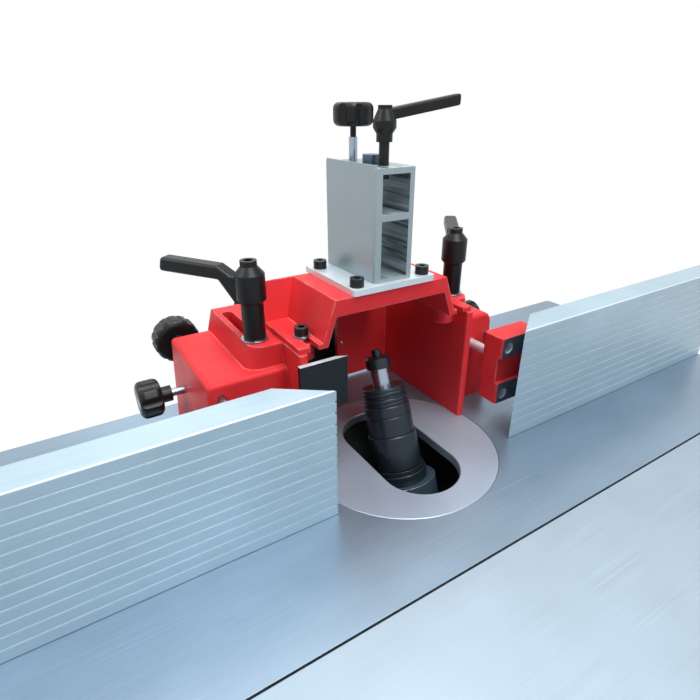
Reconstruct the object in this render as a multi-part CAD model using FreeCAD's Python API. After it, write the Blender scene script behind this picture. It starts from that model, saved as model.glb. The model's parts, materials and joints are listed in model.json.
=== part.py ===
import FreeCAD, Part
import math
import os

# Spindle moulder: floor cabinet, cast table, sliding front plate, tilting spindle and red fence.
# Millimetres and degrees. The origin is on the floor below the middle of the insert ring.
# X runs right, Y runs to the back, Z runs up.

# Clearances shared by all pieces
overrun = 5.0           # how far a cut runs past the face it leaves
sliding_gap = 0.3       # between faces that pass one another
running_gap = 0.05      # radial, a turning or sliding pin in its bore
press_gap = 0.02        # radial, a ring pressed in its seat
bolt_gap = 0.2          # radial, a bolt in its hole

# Table: plate with a deep rim, bored for the insert ring
table_top = 850.0
table_half_width = 500.0
table_front = -152.0
table_back = 213.0
table_plate = 16.0
table_depth = 80.0
table_wall = 12.0
table_corner = 6.0
rib_thick = 10.0
rib_depth = 42.0
rib_x = 215.0
ring_radius = 102.0
ring_thick = 10.0
ring_ledge = 10.0
ring_edge = 0.8
slot_half_width = 40.0
slot_shift = 35.0
foot_bolt_radius = 5.0
foot_bolt_head = 8.5
foot_bolt_head_high = 6.0
foot_bolt_y = (-120.0, 160.0)
foot_lug = 44.0

# Cabinet: base plate and four standing panels
cabinet_half_width = 300.0
cabinet_front = -300.0
cabinet_back = 205.0
panel_wall = 6.0
base_thick = 10.0
base_spread = 30.0
anchor_radius = 7.0
anchor_inset = 14.0
door_front = -230.0
door_back = 120.0
door_low = 130.0
door_high = 560.0
door_thick = 4.0
door_lap = 12.0
hinge_radius = 6.0
hinge_pin = 3.0
hinge_long = 50.0
hinge_share = (0.2, 0.8)
door_knob_radius = 14.0
door_knob_high = 18.0
door_knob_inset = 24.0

# Sliding front table on two round rods
plate_front = -455.0
plate_gap = 2.0
plate_half_long = 400.0
plate_thick = 22.0
plate_rim = 14.0
plate_rim_high = 8.0
beam_half_long = 450.0
beam_front = -400.0
beam_back = -190.0
beam_high = 22.0
beam_wall = 4.0
slide_rod_radius = 8.0
slide_rod_lift = 16.0
slide_rod_inset = 40.0
slide_end = 16.0
slide_block_half = 25.0
slide_block_x = 120.0

# Tilting carriage, measured along the spindle axis from the tilt pivot
pivot_y = -28.0
pivot_drop = 90.0
spindle_tilt = 21.5
cheek_inner = 84.0
cheek_outer = 98.0
cheek_hub = 30.0
trunnion_radius = 12.0
bracket_gap = 5.0
bracket_wall = 14.0
bracket_half = 48.0
bracket_foot = 24.0
sleeve_radius = 50.0
sleeve_top = 20.0
sleeve_low = -170.0
web_high = 44.0
web_thick = 30.0
sector_radius = 150.0
sector_face = 30.0
sector_tooth = 3.6
sector_step = 2.0
sector_teeth_front = 15
sector_teeth_back = 9
sector_root_share = 0.23
sector_tip_share = 0.10
worm_radius = 12.0
worm_groove = 2.6
worm_mesh = 1.8
worm_turns = 12
worm_mouth_share = 0.40
worm_floor_share = 0.20
worm_shaft_radius = 8.0
worm_lug = 12.0
worm_lug_wide = 14.0
bearing_flange = 24.0
bearing_long = 16.0

# Quill, spindle and what is stacked on it
quill_radius = 37.0
quill_bore = 30.0
quill_top = 60.0
quill_low = -250.0
bearing_high = 18.0
bearing_inset = 6.0
race_groove = 2.0
shaft_radius = 15.0
shaft_low = -302.0
flange_radii = (29.0, 27.5)
flange_heights = (9.0, 5.0)
arbor_radius = 10.0
arbor_top = 180.5
collar_radii = (25.5, 24.0, 24.0, 22.5, 23.0, 22.0, 23.0, 22.5)
collar_heights = (36.0, 20.0, 11.5, 4.0, 4.0, 3.0, 4.0, 3.5)
collar_edge = 0.8
nut_radius = 13.0
nut_high = 12.0
nut_chamfer = 2.0
tip_screw_radius = 5.0
tip_thread_share = 0.6
flange_gap = 1.0
tip_screw_high = 7.0
tip_screw_deep = 24.0
tip_socket = 2.5
rack_width = 16.0
rack_tooth = 3.0
rack_pitch = 8.0
rack_down = 10
rack_up = 12
rack_mouth_share = 0.36
rack_floor_share = 0.21

# Motor hung on the quill
motor_offset = 150.0
motor_radius = 64.0
motor_long = 170.0
motor_fins = 20
motor_fin_deep = 4.0
motor_fin_wide = 8.0
motor_boss = 48.0
motor_end = 12.0
fan_cover_high = 28.0
fan_cover_wall = 2.0
fan_slots = 10
fan_slot_wide = 5.0
mount_thick = 18.0
mount_clamp = 52.0
motor_shaft_radius = 12.0
pulley_gap = 18.0
pulley_high = 26.0
pulley_lip = 4.0
spindle_pulley_radius = 32.0
motor_pulley_radius = 44.0
belt_thick = 4.0

# Hand wheels
wheel_radius = 72.0
wheel_rim = 8.0
wheel_hub = 18.0
wheel_hub_long = 26.0
wheel_spokes = 3
wheel_spoke = 6.0
wheel_dish = 8.0
grip_radius = 10.0
grip_long = 60.0
grip_stem = 4.0
pinion_drop = -120.0
pinion_long = 24.0
pinion_teeth = 12
pinion_root_gap = 0.5
pinion_root_share = 0.27
pinion_tip_share = 0.10
rise_shaft_radius = 8.0
rise_lug = 15.0
rise_lug_wide = 14.0
arc_slot_gap = 4.0
arc_slot_from = 20.0
arc_slot_to = 58.0
wheel_standoff = 14.0

# Fence casting: two blocks, each with a clamping rail, and a bridge behind the spindle
block_flare = 6.0
block_front = 41.0
block_back = 165.0
block_high = 106.0
block_edge = 4.0
rail_outer = 131.0
rail_foot = 138.0
rail_high = 128.0
rail_front = 48.0
rail_nose = 14.0
rail_slot_x = 120.0
rail_slot_from = 63.0
rail_slot_to = 150.0
stud_radius = 5.0
stud_y = 69.0
stud_deep = 15.0
wall_inner = 94.0
wall_outer = 102.0
wall_front = 12.0
wall_edge = 2.5
bridge_wall = 6.0
bridge_low = 4.0
casting_lift = 0.2
lug_x = 85.5
lug_y = 41.5
lug_radius = 11.0
lug_high = 16.0

# Hood cover over the spindle, with its chip chute behind
roof_high = 171.0
roof_half = 63.4
roof_foot_half = 77.0
roof_wall = 5.0
roof_lip = 16.0
roof_front = 16.0
foot_half = 101.0
foot_thick = 5.0
chute_half = 100.0
chute_foot_y = 88.0
chute_top_y = 100.0
chute_back_high = 140.0
chute_wall = 5.0
chute_round = 9.0
hood_slot = 4.4
hood_bolt_radius = 4.0
hood_bolt_head = 6.5
hood_bolt_head_high = 8.0
hood_bolt_socket = 3.0
hood_bolt_deep = 12.0
washer_radius = 8.2
washer_thick = 1.6
outlet_left = -88.0
outlet_right = 21.0
outlet_low = 14.0
outlet_high = 118.0
duct_left = -96.0
duct_right = 27.0
duct_low = 8.0
duct_high = 124.0
duct_deep = 30.0
duct_wall = 3.0
duct_round = 9.0
port_x = -34.5
port_high = 66.0
port_long = 41.0
port_radius = 50.0
port_wall = 3.0

# Chip plate beside the spindle
chip_inner = 57.0
chip_outer = 105.0
chip_front = 7.0
chip_thick = 5.0
chip_low = 72.0
chip_high = 120.0
chip_mitre = 10.0

# Tower for the pressure arm
tower_base_half = 46.0
tower_base_front = 14.0
tower_base_back = 108.0
tower_base_thick = 6.0
tower_half = 21.0
tower_front = 19.0
tower_back = 106.0
tower_high = 99.0
tower_wall = 6.5
tower_shelf = 6.0
tower_shelf_high = 55.0
tower_floor = 3.0
tower_roof = 5.0
tower_round = 3.0
tower_rib = 2.5
tower_screw_x = 37.0
tower_screw_y = (23.6, 92.0)
tower_screw_head = 6.5
tower_screw_head_high = 8.0
tower_screw_socket = 3.0
tower_screw_shank = 4.0
tower_screw_deep = 9.0
hex_bolt_y = 58.0
hex_bolt_flat = 16.0
hex_bolt_high = 8.0
hex_bolt_radius = 5.0
top_knob_y = 89.0
top_stud_radius = 4.0
top_stud_long = 21.0
top_knob_radius = 18.5
top_knob_high = 20.0
top_neck = 2.8
top_neck_high = 9.0
top_lever_y = 39.0
top_lever_stud = 4.5
top_lever_lift = 25.5
top_lever_foot = 7.0
top_lever_foot_high = 6.5
top_lever_hub = 10.0
top_lever_hub_high = 10.0
top_lever_cone_high = 9.0
top_lever_cap = 6.0
top_lever_cap_high = 3.0
top_lever_long = 74.0
top_lever_rise = 12.0
top_lever_thick = 9.5
top_lever_wide = 10.0
top_lever_azimuth = -6.0
stud_reach = 6.0

# Clamp levers on the table studs
lever_sleeve = 10.3
lever_sleeve_high = 35.5
lever_hub = 13.5
lever_hub_high = 27.0
lever_cone_high = 7.0
lever_cap = 7.5
lever_cap_high = 5.0
lever_socket = 4.0
lever_long = 90.0
lever_rise = 3.0
lever_thick = 13.0
lever_wide = 15.0
lever_washer = 12.6
lever_washer_thick = 1.5
lever_neck_share = 0.16
lever_knee_share = 0.32
lever_edge_share = 0.22
lever_bar_share = 0.74
lever_azimuths = (130.0, 52.0)

# The two sides of the fence, each drawn as a right-hand side; heights are above the table
left_side = {"outer": 177.0, "shoulder": 5.0, "guide_z": 58.0, "adjust_x": 166.0, "adjust_z": 92.0,
             "lock_x": 202.0}
right_side = {"outer": 162.0, "shoulder": 13.0, "guide_z": 73.0, "adjust_x": 156.0, "adjust_z": 79.0,
              "lock_x": 197.0}

# Fence carriers, guide rods and adjusting screws
carrier_inner = 117.0
carrier_outer = 174.0
carrier_front = -19.0
carrier_back = 8.0
carrier_low = 25.0
carrier_high = 103.0
carrier_recess = 4.0
carrier_land_low = 50.0
carrier_land_high = 80.0
carrier_round = 3.0
carrier_hole_x = 127.0
carrier_hole_z = (36.0, 91.0)
carrier_hole_radius = 6.0
carrier_hole_deep = 12.0
guide_x = 132.0
guide_radius = 5.5
guide_seat = 12.0
guide_reach = 70.0
carrier_travel = 15.0
adjust_radius = 4.0
adjust_bore = 24.0
adjust_seat = 14.0
adjust_knob_y = 179.5
adjust_knob_radius = 24.5
adjust_knob_high = 25.0
adjust_collar = 8.0
adjust_lobes = 14
adjust_lobe_radius_share = 0.14
adjust_lobe_distance_share = 1.06

# Fence plates
fence_high = 125.0
fence_thick = 30.0
fence_long = 389.0
fence_front = -49.0
fence_left_tip = -101.7
fence_right_tip = 110.5
fence_mitre = 41.0
fence_lift = 0.5
fence_grooves = 11
fence_groove_deep = 0.8
fence_groove_wide = 1.4
fence_edge = 1.5
tslot_mouth = 9.0
tslot_wide = 16.0
tslot_lip = 5.0
tslot_deep = 13.0
tbolt_x = 158.0
tbolt_radius = 4.0
tbolt_head = 14.0
tbolt_head_high = 5.0
tbolt_nut = 7.0
tbolt_nut_high = 6.5

# Side lock knobs
lock_y = 126.0
lock_z = 64.0
lock_stud_radius = 4.0
lock_stud_deep = 30.0
lock_knob_radius = 19.0
lock_knob_high = 22.0
lock_hub_radius = 8.0
lock_hub_long = 10.0
knob_lobes = 7
knob_round_share = 0.28
lobe_distance_share = 1.16
lobe_radius_share = 0.30

# Places worked out from the driving sizes
pivot_z = table_top - pivot_drop
cabinet_high = table_top - table_depth
casting_z = table_top + casting_lift
plate_z = table_top - plate_thick
beam_top = cabinet_high + beam_high
slide_rod_z = beam_top + slide_rod_lift
tower_z = table_top + roof_high + tower_base_thick
tower_top = tower_z + tower_high
rail_top = table_top + rail_high
worm_z = pivot_z - sector_radius - worm_radius + worm_mesh
worm_lead = math.radians(sector_step) * sector_radius
worm_long = worm_turns * worm_lead
worm_x = -(cheek_inner + cheek_outer) / 2
bracket_inner = cheek_outer + bracket_gap
bracket_outer = bracket_inner + bracket_wall
pinion_pitch = pinion_teeth * rack_pitch / (2 * math.pi)
pinion_radius = pinion_pitch + rack_tooth / 2 - sliding_gap
pinion_root = pinion_pitch - rack_tooth / 2 - pinion_root_gap
pinion_v = -(quill_radius + rack_tooth / 2 + pinion_pitch)
pulley_top = quill_low - pulley_gap
origin = FreeCAD.Vector(0, 0, 0)
unit_x = FreeCAD.Vector(1, 0, 0)
unit_y = FreeCAD.Vector(0, 1, 0)
unit_z = FreeCAD.Vector(0, 0, 1)


def vec(x, y, z):
    return FreeCAD.Vector(x, y, z)


def block(x0, x1, y0, y1, z0, z1):
    """Box between two values on each axis."""
    return Part.makeBox(x1 - x0, y1 - y0, z1 - z0, vec(x0, y0, z0))


def rod(start, axis, radius, length):
    return Part.makeCylinder(radius, length, start, axis)


def tube(start, axis, outer, inner, length):
    bore = rod(start - axis * overrun, axis, inner, length + overrun + overrun)
    return rod(start, axis, outer, length).cut(bore)


def prism(points, sweep):
    """Straight-sided outline, pushed along a vector."""
    wire = Part.makePolygon(points + points[:1])
    return Part.Face(wire).extrude(sweep)


def turned(points):
    """Half profile of (radius, height) pairs, turned about Z."""
    outline = [vec(radius, 0, height) for radius, height in points]
    face = Part.Face(Part.makePolygon(outline + outline[:1]))
    return face.revolve(origin, unit_z, 360)


def hexagon(start, axis, flat, high):
    """Six-sided prism across the given flats, standing at a point on an axis."""
    corner = flat / math.sqrt(3)
    points = [vec(corner * math.cos(math.radians(60 * i)), corner * math.sin(math.radians(60 * i)), 0)
              for i in range(6)]
    return turn_to(prism(points, unit_z * high), start, axis)


def turn_to(shape, start, axis):
    """Carry a shape made on Z at the origin to a point and an axis."""
    shape = shape.copy()
    shape.Placement = FreeCAD.Placement(start, FreeCAD.Rotation(unit_z, axis))
    return shape


def edges_along(shape, axis):
    """Straight edges that run along an axis."""
    chosen = []
    for edge in shape.Edges:
        if isinstance(edge.Curve, Part.Line) and edge.Curve.Direction.cross(axis).Length < 1e-6:
            chosen.append(edge)
    return chosen


def rim_edges(shape):
    return [edge for edge in shape.Edges if isinstance(edge.Curve, Part.Circle)]


def mirrored(shape):
    return shape.mirror(origin, unit_x)


def tilted(shape):
    """Carry a shape from the spindle's upright frame to its leaning place."""
    shape = shape.copy()
    shape.rotate(origin, unit_x, -spindle_tilt)
    shape.translate(vec(0, pivot_y, pivot_z))
    return shape


def save(name, *solids):
    shape = solids[0] if len(solids) == 1 else Part.makeCompound(list(solids))
    shape.exportStep("parts/" + name + ".step")


def lobed_knob(radius, high, lobes, scoop, reach):
    """Round-edged grip with scalloped sides, standing on the origin."""
    grip = Part.makeCylinder(radius, high)
    grip = grip.makeFillet(high * knob_round_share, rim_edges(grip))
    for i in range(lobes):
        angle = math.radians(360 * i / lobes)
        place = vec(reach * math.cos(angle), reach * math.sin(angle), -overrun)
        grip = grip.cut(rod(place, unit_z, scoop, high + overrun + overrun))
    return grip


def star_knob(radius, high):
    return lobed_knob(radius, high, knob_lobes, radius * lobe_radius_share, radius * lobe_distance_share)


def lever_arm(long, rise, thick, wide, hub_high):
    """Cranked lever arm along X from the axis: a neck out of the hub, then a straight bar with a cut end."""
    neck = long * lever_neck_share
    knee = long * lever_knee_share
    bar_low = hub_high * lever_bar_share
    points = [vec(0, 0, 0), vec(neck, 0, 0), vec(knee, 0, bar_low), vec(long, 0, bar_low + rise),
              vec(long - wide * lever_edge_share, 0, bar_low + rise + thick), vec(knee, 0, bar_low + thick),
              vec(neck, 0, hub_high - thick * lever_edge_share),
              vec(0, 0, hub_high - thick * lever_edge_share)]
    arm = prism(points, unit_y * wide)
    arm.translate(vec(0, -wide / 2, 0))
    outer = [edge for edge in arm.Edges if edge.BoundBox.XMax > neck and edge.BoundBox.XMin > 0]
    return arm.makeFillet(wide * lever_edge_share, outer)


def straight_arm(long, low, rise, thick, wide):
    """Plain bar along X that rises from the hub at a steady slope."""
    points = [vec(0, 0, low), vec(long, 0, low + rise), vec(long, 0, low + rise + thick),
              vec(0, 0, low + thick)]
    arm = prism(points, unit_y * wide)
    arm.translate(vec(0, -wide / 2, 0))
    outer = [edge for edge in arm.Edges if edge.BoundBox.XMax > long - wide]
    return arm.makeFillet(wide * lever_edge_share, outer)


def clamp_hub(foot, radius, high, cone_high, cap, cap_high, socket):
    """Turned hub of a clamp lever with a coned top and a socketed cap."""
    top = high + cone_high + cap_high
    hub = turned([(0, 0), (foot, 0), (radius, cone_high / 2), (radius, high), (cap, high + cone_high),
                  (cap, top), (0, top)])
    return hub.cut(hexagon(vec(0, 0, top - cap_high), unit_z, 2 * socket, cap_high + overrun))


def hand_wheel(bore):
    """Dished wheel on Z: rim, spokes and hub, with a hole for the grip's stem."""
    wheel = Part.makeTorus(wheel_radius - wheel_rim, wheel_rim, vec(0, 0, wheel_hub_long - wheel_dish))
    wheel = wheel.fuse(Part.makeCylinder(wheel_hub, wheel_hub_long))
    reach = wheel_radius - wheel_rim
    for i in range(wheel_spokes):
        angle = math.radians(360 * i / wheel_spokes)
        low = vec(0, 0, wheel_spoke + wheel_dish)
        end = vec(reach * math.cos(angle), reach * math.sin(angle), wheel_hub_long - wheel_dish)
        wheel = wheel.fuse(rod(low, end - low, wheel_spoke, (end - low).Length))
    wheel = wheel.cut(rod(-unit_z * overrun, unit_z, bore, wheel_hub_long + overrun + overrun))
    stem = rod(vec(reach, 0, 0), unit_z, grip_stem, wheel_hub_long + overrun)
    return wheel.cut(stem)


def wheel_grip():
    """Handle that stands on the rim of the hand wheel, with its stem through the rim."""
    seat = wheel_hub_long - wheel_dish + wheel_rim + sliding_gap
    half = (grip_radius + grip_stem) / 2
    profile = [(0, 0), (half, 0), (grip_radius, grip_long / 2), (half, grip_long), (0, grip_long)]
    grip = turned(profile)
    grip.translate(vec(wheel_radius - wheel_rim, 0, seat))
    stem_low = seat - wheel_rim - wheel_rim
    stem = rod(vec(wheel_radius - wheel_rim, 0, stem_low), unit_z, grip_stem - press_gap, wheel_rim * 2)
    return grip.fuse(stem)


def make_base():
    reach = cabinet_half_width + base_spread
    front = cabinet_front - base_spread
    back = cabinet_back + base_spread
    plate = block(-reach, reach, front, back, 0, base_thick)
    plate = plate.makeFillet(anchor_inset, edges_along(plate, unit_z))
    for x in (anchor_inset - reach, reach - anchor_inset):
        for y in (front + anchor_inset, back - anchor_inset):
            plate = plate.cut(rod(vec(x, y, -overrun), unit_z, anchor_radius, base_thick + 2 * overrun))
    return plate


def pivot_arc(radius, half, start, end, x0, x1):
    """Part of a ring round the tilt pivot; angles run from straight down towards the front."""
    pivot = vec(0, pivot_y, pivot_z)
    low = pivot_z - radius - half
    high = pivot_z - radius + half
    corners = [vec(x0, pivot_y, low), vec(x1, pivot_y, low), vec(x1, pivot_y, high), vec(x0, pivot_y, high)]
    face = Part.Face(Part.makePolygon(corners + corners[:1]))
    face.rotate(pivot, unit_x, -start)
    return face.revolve(pivot, unit_x, start - end)


def side_panel():
    """Left or right wall with the top flange that the table is bolted to, drawn on the right."""
    inner = cabinet_half_width - panel_wall
    front = cabinet_front + panel_wall
    back = cabinet_back - panel_wall
    panel = block(inner, cabinet_half_width, front, back, base_thick, cabinet_high)
    flange = block(inner - foot_lug, inner, table_front, back, cabinet_high - panel_wall, cabinet_high)
    panel = panel.fuse(flange)
    for y in foot_bolt_y:
        start = vec(inner - foot_lug / 2, y, cabinet_high - panel_wall - overrun)
        panel = panel.cut(rod(start, unit_z, foot_bolt_radius + bolt_gap, panel_wall + 2 * overrun))
    return panel.removeSplitter()


def make_cabinet():
    front = block(-cabinet_half_width, cabinet_half_width, cabinet_front, cabinet_front + panel_wall,
                  base_thick, cabinet_high)
    worm_hole = rod(vec(worm_x, cabinet_front - overrun, worm_z), unit_y, bearing_flange / 2 + bolt_gap,
                    panel_wall + 2 * overrun)
    save("front_panel", front.cut(worm_hole))
    save("rear_panel", block(-cabinet_half_width, cabinet_half_width, cabinet_back - panel_wall, cabinet_back,
                             base_thick, cabinet_high))
    shaft_reach = math.hypot(pinion_drop, pinion_v)
    slot = pivot_arc(shaft_reach, rise_shaft_radius + arc_slot_gap, arc_slot_from, arc_slot_to,
                     cabinet_half_width - panel_wall - overrun, cabinet_half_width + overrun)
    save("right_panel", side_panel().cut(slot))
    doorway = block(-cabinet_half_width - overrun, overrun - cabinet_half_width + panel_wall,
                    door_front, door_back, door_low, door_high)
    save("left_panel", mirrored(side_panel()).cut(doorway))


def make_door():
    """Door lapped over its opening, on two loose-pin hinges at the back edge."""
    face = -cabinet_half_width - sliding_gap
    outside = face - door_thick
    back = door_back + door_lap
    pin_x = -cabinet_half_width - hinge_radius - sliding_gap
    pin_y = back + hinge_radius + sliding_gap
    door = block(outside, face, door_front - door_lap, back, door_low - door_lap, door_high + door_lap)
    hinges = []
    for share in hinge_share:
        middle = door_low + (door_high - door_low) * share
        half = hinge_long / 2
        strap = block(pin_x - hinge_pin, outside, back - hinge_long / 2, pin_y, middle, middle + half)
        knuckle = rod(vec(pin_x, pin_y, middle), unit_z, hinge_radius, half)
        door = door.fuse([strap, knuckle])
        door = door.cut(rod(vec(pin_x, pin_y, middle - overrun), unit_z, hinge_pin + running_gap,
                            half + 2 * overrun))
        leaf = block(pin_x, -cabinet_half_width, pin_y, pin_y + hinge_long / 2, middle - half,
                     middle - sliding_gap)
        fixed = rod(vec(pin_x, pin_y, middle - half), unit_z, hinge_radius, half - sliding_gap)
        pin = rod(vec(pin_x, pin_y, middle - half), unit_z, hinge_pin, hinge_long)
        hinges.append(fixed.fuse([leaf, pin]).removeSplitter())
    save("door_panel", door.removeSplitter())
    save("door_hinges", *hinges)
    knob = star_knob(door_knob_radius, door_knob_high)
    place = vec(outside, door_front + door_knob_inset, (door_low + door_high) / 2)
    save("door_knob", turn_to(knob, place, -unit_x))


def stadium(half_width, shift, low, high):
    """Slot outline with round ends to the front and back."""
    shape = block(-half_width, half_width, -shift, shift, low, high)
    for y in (-shift, shift):
        shape = shape.fuse(rod(vec(0, y, low), unit_z, half_width, high - low))
    return shape.removeSplitter()


def make_table():
    under = table_top - table_plate
    table = block(-table_half_width, table_half_width, table_front, table_back, cabinet_high, table_top)
    table = table.makeFillet(table_corner, edges_along(table, unit_z))
    table = table.cut(block(table_wall - table_half_width, table_half_width - table_wall,
                            table_front + table_wall, table_back - table_wall,
                            cabinet_high - overrun, under))
    lug_x_place = cabinet_half_width - panel_wall - foot_lug / 2
    additions = []
    for side in (-1, 1):
        middle = side * rib_x
        additions.append(block(middle - rib_thick / 2, middle + rib_thick / 2, table_front + table_wall,
                               table_back - table_wall, under - rib_depth, under))
        for y in foot_bolt_y:
            start = vec(side * lug_x_place, y, cabinet_high)
            additions.append(rod(start, unit_z, foot_lug / 2, under - cabinet_high))
    table = table.fuse(additions).removeSplitter()
    seat = table_top - ring_thick
    cuts = [rod(vec(0, 0, seat), unit_z, ring_radius + bolt_gap, ring_thick + overrun),
            rod(vec(0, 0, under - overrun), unit_z, ring_radius - ring_ledge, table_plate + overrun)]
    bolts = []
    for side in (-1, 1):
        cuts.append(rod(vec(side * rail_slot_x, stud_y, table_top - stud_deep), unit_z,
                        stud_radius + press_gap, stud_deep + overrun))
        for y in foot_bolt_y:
            x = side * lug_x_place
            deep = under - cabinet_high - foot_lug / 2
            cuts.append(rod(vec(x, y, cabinet_high - overrun), unit_z, foot_bolt_radius + bolt_gap,
                            deep + 2 * overrun))
            head = hexagon(vec(x, y, cabinet_high - panel_wall - foot_bolt_head_high), unit_z,
                           2 * foot_bolt_head, foot_bolt_head_high)
            shank = rod(vec(x, y, cabinet_high - panel_wall - foot_bolt_head_high), unit_z,
                        foot_bolt_radius, foot_bolt_head_high + panel_wall + deep)
            bolts.append(head.fuse(shank))
    save("table", table.cut(cuts))
    save("table_bolts", *bolts)
    plate = rod(vec(0, 0, seat), unit_z, ring_radius, ring_thick)
    plate = plate.cut(stadium(slot_half_width, slot_shift, seat - overrun, table_top + overrun))
    top_rim = [edge for edge in plate.Edges if edge.BoundBox.ZMin > table_top - ring_edge]
    save("insert_ring", plate.makeChamfer(ring_edge, top_rim))


def make_studs():
    """Clamp studs that stand in the table and pass up through the fence's slots."""
    top = rail_top + sliding_gap + lever_sleeve_high + lever_hub_high
    low = table_top - stud_deep
    save("clamp_studs", *[rod(vec(side * rail_slot_x, stud_y, low), unit_z, stud_radius, top - low)
                          for side in (-1, 1)])


def make_sliding_table():
    post_top = slide_rod_z + 2 * slide_rod_radius - slide_rod_radius / 2
    beam = block(-beam_half_long, beam_half_long, beam_front, beam_back, cabinet_high, beam_top)
    beam = beam.makeFillet(beam_wall, edges_along(beam, unit_x))
    rods = []
    bearings = []
    for y in (beam_front + slide_rod_inset, beam_back - slide_rod_inset):
        half = 2 * slide_rod_radius
        for x in (-beam_half_long, beam_half_long - slide_end):
            post = block(x, x + slide_end, y - half, y + half, beam_top - beam_wall, post_top)
            beam = beam.fuse(post)
        start = vec(-beam_half_long, y, slide_rod_z)
        beam = beam.cut(rod(start - unit_x * overrun, unit_x, slide_rod_radius + press_gap,
                            2 * beam_half_long + 2 * overrun))
        rods.append(rod(start, unit_x, slide_rod_radius, 2 * beam_half_long))
        for x in (-slide_block_x, slide_block_x):
            bearing = block(x - slide_block_half, x + slide_block_half, y - half, y + half,
                            beam_top + slide_rod_radius / 2, plate_z)
            bearing = bearing.makeFillet(slide_rod_radius / 4, edges_along(bearing, unit_x))
            bore = rod(vec(x - slide_block_half - overrun, y, slide_rod_z), unit_x,
                       slide_rod_radius + running_gap, 2 * slide_block_half + 2 * overrun)
            bearings.append(bearing.cut(bore))
    save("slide_beam", beam.removeSplitter())
    save("slide_rods", *rods)
    save("slide_bearings", *bearings)
    back = table_front - plate_gap
    plate = block(-plate_half_long, plate_half_long, plate_front, back, plate_z, table_top)
    pocket = block(plate_rim - plate_half_long, plate_half_long - plate_rim, plate_front + plate_rim,
                   back - plate_rim, plate_z - overrun, plate_z + plate_rim_high)
    for y in (beam_front + slide_rod_inset, beam_back - slide_rod_inset):
        for x in (-slide_block_x, slide_block_x):
            half = slide_block_half + plate_rim
            pocket = pocket.cut(block(x - half, x + half, y - half, y + half, plate_z - overrun,
                                      plate_z + plate_rim_high))
    plate = plate.cut(pocket)
    corners = [edge for edge in edges_along(plate, unit_z) if edge.BoundBox.ZMax > table_top - plate_rim]
    outer = [edge for edge in corners if abs(abs(edge.BoundBox.XMax) - plate_half_long) < press_gap]
    save("sliding_plate", plate.makeFillet(table_corner, outer))


def make_brackets():
    """Trunnion brackets under the table; the left one also carries the worm's inner end."""
    under = table_top - table_plate
    axle = vec(bracket_inner, pivot_y, pivot_z)
    outline = [vec(bracket_inner, pivot_y - bracket_half, under),
               vec(bracket_inner, pivot_y + bracket_half, under),
               vec(bracket_inner, pivot_y + cheek_hub, pivot_z),
               vec(bracket_inner, pivot_y - cheek_hub, pivot_z)]
    right = prism(outline, unit_x * bracket_wall)
    right = right.fuse(rod(axle, unit_x, cheek_hub, bracket_wall))
    right = right.fuse(block(bracket_inner, bracket_outer + bracket_foot, pivot_y - bracket_half,
                             pivot_y + bracket_half, under - bracket_wall, under))
    right = right.removeSplitter()
    bore = rod(axle - unit_x * overrun, unit_x, trunnion_radius + running_gap, bracket_wall + 2 * overrun)
    lug_front = pivot_y + worm_long / 2 + sliding_gap
    lug_back = lug_front + worm_lug_wide
    stem = [vec(-bracket_outer, pivot_y - trunnion_radius, pivot_z),
            vec(-bracket_outer, pivot_y + cheek_hub, pivot_z),
            vec(-bracket_outer, lug_back, worm_z), vec(-bracket_outer, lug_back, worm_z - worm_lug),
            vec(-bracket_outer, lug_front, worm_z - worm_lug)]
    left = mirrored(right).fuse(prism(stem, unit_x * bracket_wall))
    left = left.fuse(block(-bracket_outer, worm_x, lug_front, lug_back, worm_z - worm_lug, worm_z + worm_lug))
    left = left.fuse(rod(vec(worm_x, lug_front, worm_z), unit_y, worm_lug, worm_lug_wide)).removeSplitter()
    left = left.cut(rod(vec(worm_x, lug_front - overrun, worm_z), unit_y, worm_shaft_radius + running_gap,
                        worm_lug_wide + 2 * overrun))
    save("trunnion_brackets", left.cut(mirrored(bore)), right.cut(bore))


def sector_slice(inner, outer, start, end):
    """Slice of a disc about the pivot, in the plane of the left cheek."""
    corners = [vec(-cheek_outer, 0, -inner), vec(-cheek_inner, 0, -inner),
               vec(-cheek_inner, 0, -outer), vec(-cheek_outer, 0, -outer)]
    face = Part.Face(Part.makePolygon(corners + corners[:1]))
    face.rotate(origin, unit_x, start)
    return face.revolve(origin, unit_x, end - start)


def tilt_sector():
    """Toothed sector that the worm drives, lightened between hub and rim; one tooth points straight down."""
    first = spindle_tilt - sector_step * sector_teeth_front
    last = spindle_tilt + sector_step * sector_teeth_back
    root = sector_radius - sector_tooth
    sector = sector_slice(0, root, first - sector_step, last + sector_step)
    sector = sector.cut(sector_slice(cheek_hub + worm_lug, root - sector_face, first + 2 * sector_step,
                                     last - 2 * sector_step))
    pitch = math.radians(sector_step) * sector_radius
    half_root = pitch * sector_root_share
    half_tip = pitch * sector_tip_share
    face = unit_x * -cheek_outer
    teeth = []
    for i in range(sector_teeth_front + sector_teeth_back + 1):
        angle = math.radians(first + sector_step * i)
        out = vec(0, math.sin(angle), -math.cos(angle))
        across = vec(0, math.cos(angle), math.sin(angle))
        foot = face + out * root
        sunk = face + out * (root - sector_tooth)
        tip = face + out * sector_radius
        points = [sunk + across * half_root, foot + across * half_root, tip + across * half_tip,
                  tip - across * half_tip, foot - across * half_root, sunk - across * half_root]
        teeth.append(prism(points, unit_x * (cheek_outer - cheek_inner)))
    return sector.fuse(teeth)


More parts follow.
